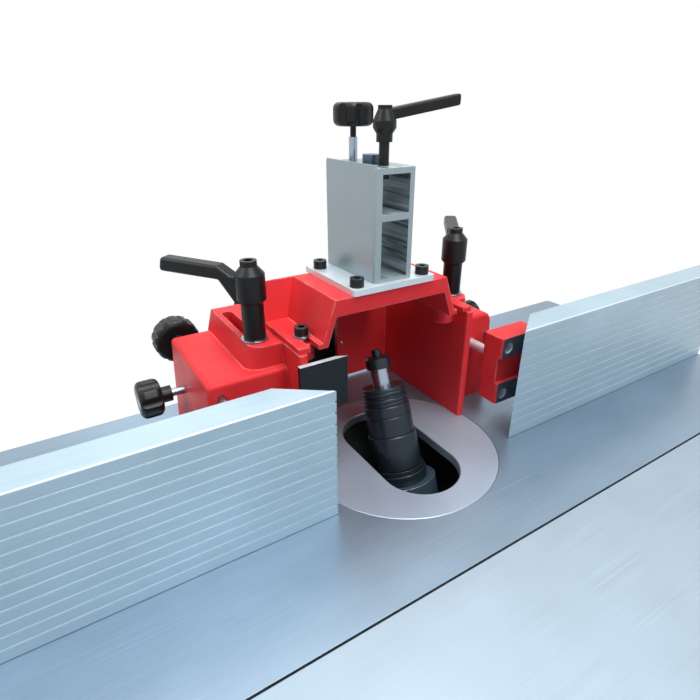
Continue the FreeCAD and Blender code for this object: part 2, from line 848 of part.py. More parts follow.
def make_carriage():
    """Casting that swings on the trunnions and guides the quill."""
    length = sleeve_top - sleeve_low
    carriage = rod(vec(0, 0, sleeve_low), unit_z, sleeve_radius, length)
    additions = [block(-cheek_outer, cheek_outer, -web_thick / 2, web_thick / 2, -web_high / 2, sleeve_top)]
    for side in (-1, 1):
        inner = vec(side * cheek_inner, 0, 0)
        additions.append(rod(inner, unit_x * side, cheek_hub, cheek_outer - cheek_inner))
        additions.append(rod(inner, unit_x * side, trunnion_radius, bracket_outer - cheek_inner))
        lug = vec(side * (pinion_long / 2 + sliding_gap), pinion_v, pinion_drop)
        additions.append(rod(lug, unit_x * side, rise_lug, rise_lug_wide))
        near = min(lug.x, lug.x + side * rise_lug_wide)
        additions.append(block(near, near + rise_lug_wide, pinion_v, 0,
                               pinion_drop - rise_lug, pinion_drop + rise_lug))
    carriage = carriage.fuse(additions).fuse(tilt_sector()).removeSplitter()
    half_key = rack_width / 2 + sliding_gap
    reach = quill_radius + rack_tooth + sliding_gap
    window = pinion_long / 2 + sliding_gap
    cuts = [rod(vec(0, 0, sleeve_low - overrun), unit_z, quill_radius + running_gap, length + 2 * overrun),
            block(-half_key, half_key, -reach, 0, sleeve_low - overrun, sleeve_top + overrun),
            block(-window, window, -sleeve_radius - pinion_radius, -shaft_radius,
                  pinion_drop - pinion_radius - rack_tooth, pinion_drop + pinion_radius + rack_tooth),
            rod(vec(-sleeve_radius, pinion_v, pinion_drop), unit_x, rise_shaft_radius + running_gap,
                2 * sleeve_radius)]
    save("carriage_casting", tilted(carriage.cut(cuts)))


def make_quill():
    """Sliding tube with the rack on its front, and the two bearings inside."""
    length = quill_top - quill_low
    lid = bearing_inset
    quill = rod(vec(0, 0, quill_low), unit_z, quill_radius, length)
    rack_low = pinion_drop - rack_pitch * rack_down
    rack_high = pinion_drop + rack_pitch * rack_up
    face = -quill_radius - rack_tooth
    quill = quill.fuse(block(-rack_width / 2, rack_width / 2, face, -quill_bore, rack_low, rack_high))
    cuts = [rod(vec(0, 0, quill_low - overrun), unit_z, quill_bore, length + overrun - lid),
            rod(vec(0, 0, quill_low), unit_z, shaft_radius + lid / 2, length + overrun)]
    mouth = rack_pitch * rack_mouth_share
    floor = rack_pitch * rack_floor_share
    for i in range(rack_down + rack_up + 1):
        middle = rack_low + rack_pitch * i
        notch = [vec(-rack_width, face, middle - mouth), vec(-rack_width, -quill_radius, middle - floor),
                 vec(-rack_width, -quill_radius, middle + floor), vec(-rack_width, face, middle + mouth)]
        cuts.append(prism(notch, unit_x * (2 * rack_width)))
    save("quill_tube", tilted(quill.cut(cuts).removeSplitter()))
    bearings = []
    for low in (quill_low + bearing_inset, quill_top - lid - bearing_inset - bearing_high):
        outer = quill_bore - press_gap
        inner = shaft_radius + running_gap
        middle = (outer + inner) / 2
        bearing = tube(vec(0, 0, low), unit_z, outer, inner, bearing_high)
        for z in (low - bearing_high, low + bearing_high - race_groove):
            bearing = bearing.cut(tube(vec(0, 0, z), unit_z, middle + 2 * race_groove,
                                       middle - 2 * race_groove, bearing_high + race_groove))
        bearings.append(tilted(bearing))
    save("spindle_bearings", *bearings)


def make_spindle():
    """Turned spindle with its flange, the stack of spacing collars, the cap nut and its screw."""
    seat = quill_top + flange_gap
    flange_mid = seat + flange_heights[0]
    flange_top = flange_mid + flange_heights[1]
    screw_radius = tip_screw_radius * tip_thread_share
    profile = [(0, shaft_low), (shaft_radius, shaft_low), (shaft_radius, seat), (flange_radii[0], seat),
               (flange_radii[0], flange_mid), (flange_radii[1], flange_mid), (flange_radii[1], flange_top),
               (arbor_radius, flange_top), (arbor_radius, arbor_top), (0, arbor_top)]
    shaft = turned(profile)
    shaft = shaft.cut(rod(vec(0, 0, arbor_top - tip_screw_deep), unit_z, screw_radius + press_gap,
                          tip_screw_deep + overrun))
    save("spindle_shaft", tilted(shaft))
    collars = []
    low = flange_top
    for radius, high in zip(collar_radii, collar_heights):
        collar = tube(vec(0, 0, low), unit_z, radius, arbor_radius + press_gap, high)
        outer = [edge for edge in rim_edges(collar) if edge.Curve.Radius > arbor_radius + collar_edge]
        collars.append(tilted(collar.makeChamfer(collar_edge, outer)))
        low += high
    save("spindle_collars", *collars)
    nut = tube(vec(0, 0, arbor_top), unit_z, nut_radius, screw_radius + press_gap, nut_high)
    rim = [edge for edge in rim_edges(nut) if edge.Curve.Radius > tip_screw_radius
           and edge.BoundBox.ZMin > arbor_top + nut_chamfer]
    save("spindle_nut", tilted(nut.makeChamfer(nut_chamfer, rim)))
    head_low = arbor_top + nut_high
    screw = rod(vec(0, 0, head_low), unit_z, tip_screw_radius, tip_screw_high)
    screw = screw.fuse(rod(vec(0, 0, arbor_top - tip_screw_deep), unit_z, screw_radius,
                           tip_screw_deep + nut_high + tip_screw_high / 2))
    socket = hexagon(vec(0, 0, head_low + tip_screw_high / 2), unit_z, 2 * tip_socket, tip_screw_high)
    save("spindle_screw", tilted(screw.removeSplitter().cut(socket)))


def pulley(radius, bore):
    """Flat-belt pulley with two lips, hung below the quill's end."""
    low = pulley_top - pulley_high
    lip = pulley_lip
    profile = [(bore, low), (radius, low), (radius, low + lip), (radius - lip, low + lip),
               (radius - lip, pulley_top - lip), (radius, pulley_top - lip), (radius, pulley_top),
               (bore, pulley_top)]
    return turned(profile)


def belt_loop(first, second, low, high):
    """Outline round both pulley axes: two discs and the band between their tangents."""
    lean = (first - second) / motor_offset
    straight = math.sqrt(1 - lean * lean)
    points = []
    for side, radius, v in ((1, first, 0), (1, second, motor_offset),
                            (-1, second, motor_offset), (-1, first, 0)):
        points.append(vec(side * radius * straight, v + radius * lean, low))
    loop = prism(points, unit_z * (high - low))
    discs = [rod(vec(0, 0, low), unit_z, first, high - low),
             rod(vec(0, motor_offset, low), unit_z, second, high - low)]
    return loop.fuse(discs).removeSplitter()


def make_drive():
    """Motor on its bracket beside the quill, with both pulleys and the flat belt."""
    axis = vec(0, motor_offset, 0)
    mount_low = quill_low + bearing_inset
    mount_top = mount_low + mount_thick
    mount = rod(vec(0, 0, mount_low), unit_z, mount_clamp, mount_thick)
    mount = mount.fuse([rod(axis + unit_z * mount_low, unit_z, motor_radius, mount_thick),
                        block(-mount_clamp, mount_clamp, 0, motor_offset, mount_low, mount_top)])
    mount = mount.removeSplitter()
    through = mount_thick + 2 * overrun
    mount = mount.cut([rod(vec(0, 0, mount_low - overrun), unit_z, quill_radius + press_gap, through),
                       rod(axis + unit_z * (mount_low - overrun), unit_z, motor_shaft_radius + overrun,
                           through)])
    save("motor_bracket", tilted(mount))
    body = rod(axis + unit_z * mount_top, unit_z, motor_radius, motor_long)
    cuts = [rod(axis + unit_z * (mount_top - overrun), unit_z, motor_shaft_radius + running_gap,
                motor_boss + overrun)]
    for i in range(motor_fins):
        groove = block(motor_radius - motor_fin_deep, motor_radius + overrun, -motor_fin_wide / 2,
                       motor_fin_wide / 2, mount_top + motor_end, mount_top + motor_long - motor_end)
        groove.rotate(origin, unit_z, 360 * i / motor_fins)
        groove.translate(axis)
        cuts.append(groove)
    save("motor_body", tilted(body.cut(cuts)))
    cover_low = mount_top + motor_long
    cover = rod(axis + unit_z * cover_low, unit_z, motor_radius - motor_fin_deep, fan_cover_high)
    crown = [edge for edge in rim_edges(cover) if edge.BoundBox.ZMin > cover_low]
    cover = cover.makeFillet(motor_end / 2, crown)
    hollow = [rod(axis + unit_z * (cover_low - overrun), unit_z,
                  motor_radius - motor_fin_deep - fan_cover_wall,
                  fan_cover_high - fan_cover_wall - motor_end / 2 + overrun)]
    for i in range(fan_slots):
        slot = block(motor_shaft_radius, motor_boss, -fan_slot_wide / 2, fan_slot_wide / 2, cover_low,
                     cover_low + fan_cover_high + overrun)
        slot.rotate(origin, unit_z, 360 * i / fan_slots)
        slot.translate(axis)
        hollow.append(slot)
    save("fan_cover", tilted(cover.cut(hollow)))
    low = pulley_top - pulley_high
    save("motor_shaft", tilted(rod(axis + unit_z * (low - pulley_lip), unit_z, motor_shaft_radius,
                                   mount_top + motor_boss - sliding_gap - low + pulley_lip)))
    save("spindle_pulley", tilted(pulley(spindle_pulley_radius, shaft_radius + press_gap)))
    driver = pulley(motor_pulley_radius, motor_shaft_radius + press_gap)
    driver.translate(axis)
    save("motor_pulley", tilted(driver))
    inner = (spindle_pulley_radius - pulley_lip + sliding_gap, motor_pulley_radius - pulley_lip + sliding_gap)
    belt_low = low + pulley_lip + sliding_gap
    belt_top = pulley_top - pulley_lip - sliding_gap
    belt = belt_loop(inner[0] + belt_thick, inner[1] + belt_thick, belt_low, belt_top)
    belt = belt.cut(belt_loop(inner[0], inner[1], belt_low - overrun, belt_top + overrun))
    save("drive_belt", tilted(belt))


def make_rise_wheel():
    """Pinion shaft across the carriage, through the arc slot to the right-hand wheel."""
    start = vec(-pinion_long / 2 - sliding_gap - rise_lug_wide, pinion_v, pinion_drop)
    wheel_x = cabinet_half_width + wheel_standoff
    shaft = rod(start, unit_x, rise_shaft_radius, wheel_x + wheel_hub_long - start.x)
    low = -pinion_long / 2
    additions = [rod(vec(low, pinion_v, pinion_drop), unit_x, pinion_root, pinion_long)]
    half_root = rack_pitch * pinion_root_share
    half_tip = rack_pitch * pinion_tip_share
    for i in range(pinion_teeth):
        outline = [vec(low, -half_root, pinion_root - rack_tooth), vec(low, -half_root, pinion_root),
                   vec(low, -half_tip, pinion_radius), vec(low, half_tip, pinion_radius),
                   vec(low, half_root, pinion_root), vec(low, half_root, pinion_root - rack_tooth)]
        tooth = prism(outline, unit_x * pinion_long)
        tooth.rotate(origin, unit_x, 360 * i / pinion_teeth)
        tooth.translate(vec(0, pinion_v, pinion_drop))
        additions.append(tooth)
    save("rise_shaft", tilted(shaft.fuse(additions).removeSplitter()))
    place = vec(wheel_x, pinion_v, pinion_drop)
    save("rise_handwheel", tilted(turn_to(hand_wheel(rise_shaft_radius + press_gap), place, unit_x)))
    save("rise_grip", tilted(turn_to(wheel_grip(), place, unit_x)))


def make_tilt_wheel():
    """Worm shaft from the sector forward through the front panel to its wheel."""
    back = pivot_y + worm_long / 2 + sliding_gap + worm_lug_wide + sliding_gap
    wheel_y = cabinet_front - wheel_standoff
    shaft = rod(vec(worm_x, wheel_y - wheel_hub_long, worm_z), unit_y, worm_shaft_radius,
                back - wheel_y + wheel_hub_long)
    worm = rod(vec(worm_x, pivot_y - worm_long / 2, worm_z), unit_y, worm_radius, worm_long)
    turns_before = worm_turns / 2 + 3 / 4
    helix = Part.makeHelix(worm_lead, worm_long + 2 * worm_lead, worm_radius)
    out = worm_radius + worm_groove / 4
    floor = worm_radius - worm_groove
    mouth_half = worm_lead * (worm_mouth_share + (worm_mouth_share - worm_floor_share) / 4)
    floor_half = worm_lead * worm_floor_share
    notch = Part.makePolygon([vec(out, 0, -mouth_half), vec(floor, 0, -floor_half), vec(floor, 0, floor_half),
                              vec(out, 0, mouth_half), vec(out, 0, -mouth_half)])
    groove = Part.Wire(helix.Edges).makePipeShell([notch], True, True)
    groove = turn_to(groove, vec(worm_x, pivot_y - worm_lead * turns_before, worm_z), unit_y)
    worm = worm.cut(groove)
    save("tilt_worm", shaft.fuse(worm))
    place = vec(worm_x, wheel_y, worm_z)
    save("tilt_handwheel", turn_to(hand_wheel(worm_shaft_radius + press_gap), place, -unit_y))
    save("tilt_grip", turn_to(wheel_grip(), place, -unit_y))
    boss = bearing_flange / 2
    seat = vec(worm_x, cabinet_front - panel_wall, worm_z)
    flange = rod(seat, unit_y, bearing_flange, panel_wall)
    flange = flange.fuse(rod(seat, unit_y, boss, bearing_long + panel_wall)).removeSplitter()
    bore = rod(seat - unit_y * overrun, unit_y, worm_shaft_radius + running_gap,
               bearing_long + panel_wall + 2 * overrun)
    save("front_bearing", flange.cut(bore))


def chute_solid(inset):
    """Housing behind the hood, slanted at the front; an inset makes its hollow."""
    foot = table_top + rail_high
    top = table_top + roof_high - inset
    back = block_back - inset
    left = inset - chute_half
    right = roof_foot_half - inset
    outline = [vec(left, chute_foot_y + inset, foot), vec(left, chute_top_y + inset, top),
               vec(left, back, table_top + chute_back_high - inset), vec(left, back, foot)]
    return prism(outline, unit_x * (right - left))


def fence_side(values):
    """Right-hand block with its rail, slot, bores and the wall beside the spindle."""
    foot = casting_z
    high = table_top + block_high
    block_outer = values["outer"]
    outline = [vec(wall_inner, block_front, foot), vec(block_outer + block_flare, block_front, foot),
               vec(block_outer, block_front, high), vec(wall_inner, block_front, high)]
    side = prism(outline, unit_y * (block_back - block_front))
    shoulder = [edge for edge in edges_along(side, unit_y) if edge.BoundBox.XMin > block_outer - block_edge
                and edge.BoundBox.ZMin > high - block_edge]
    side = side.makeFillet(values["shoulder"], shoulder)
    rim = []
    for edge in side.Edges:
        box = edge.BoundBox
        if box.YMax < block_front + block_edge or box.YMin > block_back - block_edge:
            if box.ZMax > foot + block_edge and box.XMax > wall_inner + block_edge:
                rim.append(edge)
    side = side.makeFillet(block_edge, rim)
    outline = [vec(wall_inner, rail_front, high - block_edge),
               vec(rail_foot, rail_front, high - block_edge),
               vec(rail_outer, rail_front, rail_top), vec(wall_inner, rail_front, rail_top)]
    rail = prism(outline, unit_y * (block_back - rail_front))
    nose = [edge for edge in rail.Edges if edge.BoundBox.XMin > rail_outer - rail_nose
            and edge.BoundBox.YMax < rail_front + rail_nose and edge.BoundBox.ZLength > rail_nose]
    side = side.fuse(rail.makeFillet(rail_nose, nose))
    wall = block(wall_inner, wall_outer, wall_front, rail_front + rail_nose, foot, rail_top)
    front = [edge for edge in edges_along(wall, unit_z) if edge.BoundBox.YMax < wall_front + wall_edge]
    side = side.fuse(wall.makeFillet(wall_edge, front))
    side = side.fuse(rod(vec(lug_x, lug_y, rail_top - lug_high), unit_z, lug_radius, lug_high))
    side = side.removeSplitter()
    half = stud_radius + bolt_gap + sliding_gap
    cuts = [block(rail_slot_x - half, rail_slot_x + half, rail_slot_from + half, rail_slot_to - half,
                  table_top - overrun, rail_top + overrun)]
    for y in (rail_slot_from + half, rail_slot_to - half):
        cuts.append(rod(vec(rail_slot_x, y, table_top - overrun), unit_z, half, rail_high + 2 * overrun))
    cuts.append(rod(vec(guide_x, block_front - overrun, table_top + values["guide_z"]), unit_y,
                    guide_radius + running_gap, guide_reach + carrier_travel + overrun))
    cuts.append(rod(vec(values["adjust_x"], block_front - overrun, table_top + values["adjust_z"]), unit_y,
                    adjust_radius + running_gap, block_back - block_front + 2 * overrun))
    cuts.append(rod(vec(block_outer - lock_stud_deep, lock_y, table_top + lock_z), unit_x,
                    lock_stud_radius + running_gap, lock_stud_deep + block_flare + overrun))
    cuts.append(rod(vec(lug_x, lug_y, rail_top - hood_bolt_deep), unit_z, hood_bolt_radius + press_gap,
                    hood_bolt_deep + overrun))
    return side.cut(cuts)


def make_fence_casting():
    left = fence_side(left_side)
    right = fence_side(right_side)
    bridge = block(-wall_inner, wall_inner, block_back - bridge_wall, block_back, table_top + bridge_low,
                   rail_top)
    chute = chute_solid(0)
    corners = [edge for edge in chute.Edges if edge.BoundBox.YMax > block_back - chute_wall
               and edge.BoundBox.ZMax > rail_top + chute_wall]
    chute = chute.makeFillet(chute_round, corners)
    mouth_half = roof_half - roof_wall
    mouth = block(-mouth_half, mouth_half, chute_foot_y - overrun, chute_top_y + chute_wall + overrun,
                  rail_top - overrun, table_top + roof_high - roof_wall)
    chute = chute.cut([chute_solid(chute_wall), mouth])
    casting = right.fuse([mirrored(left), bridge, chute]).removeSplitter()
    outlet = block(outlet_left, outlet_right, block_back - bridge_wall - overrun, block_back + overrun,
                   table_top + outlet_low, table_top + outlet_high)
    save("fence_casting", casting.cut(outlet))
    back = chip_front + chip_thick
    low = table_top + chip_low
    outline = [vec(-chip_outer, chip_front, low), vec(-chip_inner, chip_front, low),
               vec(-chip_inner - chip_mitre, back, low), vec(-chip_outer, back, low)]
    save("chip_plate", prism(outline, unit_z * (chip_high - chip_low)))


def make_dust_duct():
    """Shallow duct over the outlet behind the fence, with a round spigot for a hose."""
    back = block_back + duct_deep
    low = table_top + duct_low
    high = table_top + duct_high
    box = block(duct_left, duct_right, block_back, back, low, high)
    box = box.makeFillet(duct_round, edges_along(box, unit_y))
    hollow = block(duct_left + duct_wall, duct_right - duct_wall, block_back - overrun, back - duct_wall,
                   low + duct_wall, high - duct_wall)
    hollow = hollow.makeFillet(duct_round - duct_wall, edges_along(hollow, unit_y))
    start = vec(port_x, back - duct_wall, table_top + port_high)
    spigot = rod(start, unit_y, port_radius, duct_wall + port_long)
    bore = rod(start - unit_y * overrun, unit_y, port_radius - port_wall, duct_wall + port_long + 2 * overrun)
    save("dust_port", box.cut(hollow).fuse(spigot).removeSplitter().cut(bore))


def make_hood():
    """Bent cover over the spindle: roof, slanted sides, feet and a front lip."""
    foot = rail_top
    shelf = foot + foot_thick
    top = table_top + roof_high
    outer_half = [(foot_half, foot), (foot_half, shelf), (roof_foot_half, shelf), (roof_half, top)]
    inner_half = [(roof_half - roof_wall, top - roof_wall), (roof_foot_half - roof_wall, foot)]
    left = [(-x, z) for x, z in outer_half]
    right = [(x, z) for x, z in reversed(outer_half)]
    inner_right = [(x, z) for x, z in reversed(inner_half)]
    inner_left = [(-x, z) for x, z in inner_half]
    outer = prism([vec(x, roof_front, z) for x, z in left + right], unit_y * (chute_top_y - roof_front))
    hollow = prism([vec(x, roof_front - overrun, z) for x, z in inner_right + inner_left],
                   unit_y * (chute_top_y - roof_front + 2 * overrun))
    lip = outer.common(block(-foot_half, foot_half, roof_front, roof_front + roof_wall, top - roof_lip, top))
    behind = chute_solid(0)
    behind.translate(vec(0, -press_gap, 0))
    hood = outer.cut(hollow).fuse(lip).removeSplitter().cut(behind)
    bolts = []
    for x in (-lug_x, lug_x):
        hood = hood.cut([block(x - hood_slot, x + hood_slot, roof_front - overrun, lug_y, foot - overrun,
                               shelf + overrun),
                         rod(vec(x, lug_y, foot - overrun), unit_z, hood_slot, foot_thick + 2 * overrun)])
        washer = tube(vec(x, lug_y, shelf), unit_z, washer_radius, hood_bolt_radius + press_gap, washer_thick)
        seat = shelf + washer_thick
        head = rod(vec(x, lug_y, seat), unit_z, hood_bolt_head, hood_bolt_head_high)
        shank = rod(vec(x, lug_y, foot - hood_bolt_deep), unit_z, hood_bolt_radius,
                    hood_bolt_deep + foot_thick + washer_thick + hood_bolt_head_high / 2)
        socket = hexagon(vec(x, lug_y, seat + hood_bolt_head_high / 2), unit_z, 2 * hood_bolt_socket,
                         hood_bolt_head_high)
        bolts += [washer, head.fuse(shank).removeSplitter().cut(socket)]
    for x in (-tower_screw_x, tower_screw_x):
        for y in tower_screw_y:
            hood = hood.cut(rod(vec(x, y, top - roof_wall - overrun), unit_z, tower_screw_shank + press_gap,
                                roof_wall + 2 * overrun))
    save("hood_cover", hood)
    save("hood_bolts", *bolts)


def make_tower():
    """Upright for the pressure arm: base plate, windowed column, screws, knob and lever."""
    low = table_top + roof_high
    base = block(-tower_base_half, tower_base_half, tower_base_front, tower_base_back, low, tower_z)
    base = base.makeFillet(tower_round, edges_along(base, unit_z))
    column = block(-tower_half, tower_half, tower_front, tower_back, tower_z, tower_top)
    column = column.makeFillet(tower_round, edges_along(column, unit_z))
    column = column.fuse(block(-tower_half, tower_rib - tower_half, tower_front + tower_round,
                               tower_back - tower_round, tower_top - tower_rib, tower_top + tower_rib))
    inside = tower_half - tower_wall
    shelf_top = tower_shelf_high + tower_shelf
    cuts = [block(-inside, inside, tower_front - overrun, tower_back + overrun, tower_z + tower_floor,
                  tower_z + tower_shelf_high),
            block(-inside, inside, tower_front - overrun, tower_back + overrun, tower_z + shelf_top,
                  tower_top - tower_roof)]
    for y, radius in ((top_knob_y, top_stud_radius + running_gap),
                      (top_lever_y, top_lever_stud + running_gap), (hex_bolt_y, hex_bolt_radius + bolt_gap)):
        cuts.append(rod(vec(0, y, tower_top - tower_roof - overrun), unit_z, radius,
                        tower_roof + 2 * overrun))
    save("tower_column", column.removeSplitter().cut(cuts))
    screws = []
    for x in (-tower_screw_x, tower_screw_x):
        for y in tower_screw_y:
            base = base.cut(rod(vec(x, y, low - overrun), unit_z, tower_screw_shank + bolt_gap,
                                tower_base_thick + 2 * overrun))
            head = rod(vec(x, y, tower_z), unit_z, tower_screw_head, tower_screw_head_high)
            shank = rod(vec(x, y, tower_z - tower_screw_deep), unit_z, tower_screw_shank,
                        tower_screw_deep + tower_screw_head_high / 2)
            socket = hexagon(vec(x, y, tower_z + tower_screw_head_high / 2), unit_z, 2 * tower_screw_socket,
                             tower_screw_head_high)
            screws.append(head.fuse(shank).removeSplitter().cut(socket))
    hex_head = hexagon(vec(0, hex_bolt_y, tower_top), unit_z, hex_bolt_flat, hex_bolt_high)
    hex_shank = rod(vec(0, hex_bolt_y, tower_top - tower_roof - stud_reach), unit_z, hex_bolt_radius,
                    tower_roof + stud_reach + hex_bolt_high / 2)
    screws.append(hex_head.fuse(hex_shank).removeSplitter())
    save("tower_base", base)
    save("tower_screws", *screws)
    stud_low = tower_top - tower_roof - stud_reach
    stud = rod(vec(0, top_knob_y, stud_low), unit_z, top_stud_radius, tower_roof + stud_reach + top_stud_long)
    knob = star_knob(top_knob_radius, top_knob_high)
    knob = knob.fuse(rod(-unit_z * top_neck_high, unit_z, top_neck, top_neck_high + top_knob_high / 2))
    knob_z = tower_top + top_stud_long + top_neck_high
    save("top_knob", turn_to(knob.removeSplitter(), vec(0, top_knob_y, knob_z), unit_z), stud)
    hub_low = tower_top + top_lever_lift
    arm = straight_arm(top_lever_long, top_lever_hub_high - sliding_gap, top_lever_rise, top_lever_thick,
                       top_lever_wide)
    lever = clamp_hub(top_lever_foot, top_lever_hub, top_lever_hub_high, top_lever_cone_high, top_lever_cap,
                      top_lever_cap_high, top_lever_stud / 2)
    lever = lever.fuse([arm, rod(-unit_z * top_lever_foot_high, unit_z, top_lever_foot, top_lever_foot_high),
                        rod(-unit_z * (hub_low - stud_low), unit_z, top_lever_stud, hub_low - stud_low)])
    lever.rotate(origin, unit_z, top_lever_azimuth)
    lever.translate(vec(0, top_lever_y, hub_low))
    save("top_lever", lever.removeSplitter())


def make_clamp_levers():
    """Levers screwed on the table studs, each on a sleeve and a washer that press on the rail."""
    for name, side, azimuth in (("left", -1, lever_azimuths[0]), ("right", 1, lever_azimuths[1])):
        foot = vec(side * rail_slot_x, stud_y, rail_top + sliding_gap)
        bore = stud_radius + running_gap
        washer = tube(foot, unit_z, lever_washer, bore, lever_washer_thick)
        sleeve = tube(foot + unit_z * lever_washer_thick, unit_z, lever_sleeve, bore,
                      lever_sleeve_high - lever_washer_thick)
        lever = clamp_hub(lever_sleeve, lever_hub, lever_hub_high, lever_cone_high, lever_cap, lever_cap_high,
                          lever_socket)
        arm = lever_arm(lever_long, lever_rise, lever_thick, lever_wide, lever_hub_high)
        lever = lever.fuse(arm).removeSplitter()
        lever = lever.cut(rod(-unit_z * overrun, unit_z, bore, lever_hub_high + overrun + sliding_gap))
        lever.rotate(origin, unit_z, azimuth)
        lever.translate(foot + unit_z * lever_sleeve_high)
        save(name + "_clamp_lever", lever, sleeve, washer)


def make_carrier(values):
    """Right-hand fence carrier with its guide rod and T-bolt, all drawn in place."""
    front = carrier_front + sliding_gap
    low = table_top + carrier_low
    high = table_top + carrier_high
    carrier = block(carrier_inner, carrier_outer, front, carrier_back, low, high)
    carrier = carrier.makeFillet(carrier_round, edges_along(carrier, unit_z))
    cuts = [block(carrier_inner - overrun, carrier_outer + overrun, front - overrun, front + carrier_recess,
                  table_top + carrier_land_low, table_top + carrier_land_high)]
    start = vec(guide_x, carrier_back - guide_seat, table_top + values["guide_z"])
    guide = rod(start, unit_y, guide_radius, block_front + guide_reach - start.y)
    cuts.append(rod(start, unit_y, guide_radius + press_gap, guide_seat + overrun))
    for z in carrier_hole_z:
        cuts.append(rod(vec(carrier_hole_x, front - overrun, table_top + z), unit_y, carrier_hole_radius,
                        carrier_hole_deep + overrun))
    start = vec(values["adjust_x"], carrier_back - adjust_bore, table_top + values["adjust_z"])
    cuts.append(rod(start, unit_y, adjust_radius + running_gap, adjust_bore + overrun))
    middle = vec(tbolt_x, front, table_top + fence_high / 2)
    cuts.append(rod(middle - unit_y * overrun, unit_y, tbolt_radius + bolt_gap,
                    carrier_back - front + 2 * overrun))
    head_back = carrier_front - tslot_lip - sliding_gap
    half = tbolt_head / 2
    head = block(tbolt_x - half, tbolt_x + half, head_back - tbolt_head_high, head_back,
                 middle.z - half, middle.z + half)
    bolt = head.fuse(rod(vec(tbolt_x, head_back - tbolt_radius, middle.z), unit_y, tbolt_radius,
                         carrier_back + tbolt_nut_high - head_back + 2 * tbolt_radius)).removeSplitter()
    nut = hexagon(vec(tbolt_x, carrier_back, middle.z), unit_y, 2 * tbolt_nut, tbolt_nut_high)
    nut = nut.cut(rod(vec(tbolt_x, front, middle.z), unit_y, tbolt_radius + press_gap, block_front - front))
    return carrier.cut(cuts), [guide, bolt, nut]


def adjust_knob(values):
    """Rear knob with its collar, for the right-hand side."""
    knob = lobed_knob(adjust_knob_radius, adjust_knob_high, adjust_lobes,
                      adjust_knob_radius * adjust_lobe_radius_share,
                      adjust_knob_radius * adjust_lobe_distance_share)
    collar_long = adjust_knob_y - block_back - sliding_gap
    knob = knob.fuse(rod(-unit_z * collar_long, unit_z, adjust_collar, collar_long + adjust_knob_high / 2))
    bore = rod(-unit_z * (collar_long + overrun), unit_z, adjust_radius + press_gap,
               collar_long + overrun + adjust_knob_high / 2)
    place = vec(values["adjust_x"], adjust_knob_y, table_top + values["adjust_z"])
    return turn_to(knob.removeSplitter().cut(bore), place, unit_y)


def lock_knob(values):
    """Side knob with the hub on its inner face, for the right-hand side."""
    knob = star_knob(lock_knob_radius, lock_knob_high)
    knob = knob.fuse(rod(-unit_z * lock_hub_long, unit_z, lock_hub_radius,
                         lock_hub_long + lock_knob_high / 2))
    bore = rod(-unit_z * (lock_hub_long + overrun), unit_z, lock_stud_radius + press_gap,
               lock_hub_long + overrun + lock_knob_high / 2)
    place = vec(values["lock_x"], lock_y, table_top + lock_z)
    return turn_to(knob.removeSplitter().cut(bore), place, unit_x)


def lock_stud(values):
    start = vec(values["outer"] - lock_stud_deep + sliding_gap, lock_y, table_top + lock_z)
    return rod(start, unit_x, lock_stud_radius, values["lock_x"] + lock_knob_high / 2 - start.x)


def side_pieces(values):
    """Pieces of one side of the fence, drawn as the right-hand side."""
    carrier, fittings = make_carrier(values)
    start = vec(values["adjust_x"], carrier_back - adjust_seat, table_top + values["adjust_z"])
    screw = rod(start, unit_y, adjust_radius, adjust_knob_y + adjust_knob_high / 2 - start.y)
    return {"carrier": [carrier], "guide_rods": fittings, "adjust_knob": [adjust_knob(values), screw],
            "lock_knob": [lock_knob(values), lock_stud(values)]}


def make_carriers():
    for name, solids in side_pieces(right_side).items():
        save("right_" + name, *solids)
    for name, solids in side_pieces(left_side).items():
        save("left_" + name, *[mirrored(solid) for solid in solids])


def fence_plate(tip):
    """Fence plate drawn to the right of its mitred inner tip, grooved in front, T-slotted behind."""
    low = table_top + fence_lift
    top = low + fence_high
    back = fence_front + fence_thick
    outline = [vec(tip, fence_front, low), vec(tip + fence_long, fence_front, low),
               vec(tip + fence_long, back, low), vec(tip + fence_mitre, back, low)]
    plate = prism(outline, unit_z * fence_high)
    upper = [edge for edge in plate.Edges if edge.BoundBox.ZMin > top - fence_edge]
    plate = plate.makeFillet(fence_edge, upper)
    middle = table_top + fence_high / 2
    reach = tip + fence_long + overrun
    cuts = [block(tip, reach, back - tslot_lip - overrun, back + overrun,
                  middle - tslot_mouth / 2, middle + tslot_mouth / 2),
            block(tip - overrun, reach, back - tslot_deep, back - tslot_lip,
                  middle - tslot_wide / 2, middle + tslot_wide / 2)]
    pitch = fence_high / (fence_grooves + 1)
    for i in range(fence_grooves):
        z = low + pitch * (i + 1)
        cuts.append(block(tip - overrun, reach, fence_front - overrun, fence_front + fence_groove_deep,
                          z - fence_groove_wide / 2, z + fence_groove_wide / 2))
    return plate.cut(cuts)


def make_fence_plates():
    save("right_fence", fence_plate(fence_right_tip))
    save("left_fence", mirrored(fence_plate(-fence_left_tip)))


os.makedirs("parts", exist_ok=True)
save("base_plate", make_base())
make_cabinet()
make_door()
make_table()
make_studs()
make_sliding_table()
make_brackets()
make_carriage()
make_quill()
make_spindle()
make_drive()
make_rise_wheel()
make_tilt_wheel()
make_fence_casting()
make_dust_duct()
make_hood()
make_tower()
make_clamp_levers()
make_carriers()
make_fence_plates()
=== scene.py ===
"""Looks of the spindle moulder: materials, one small screw, light and camera round the CAD frame."""
import json
import math

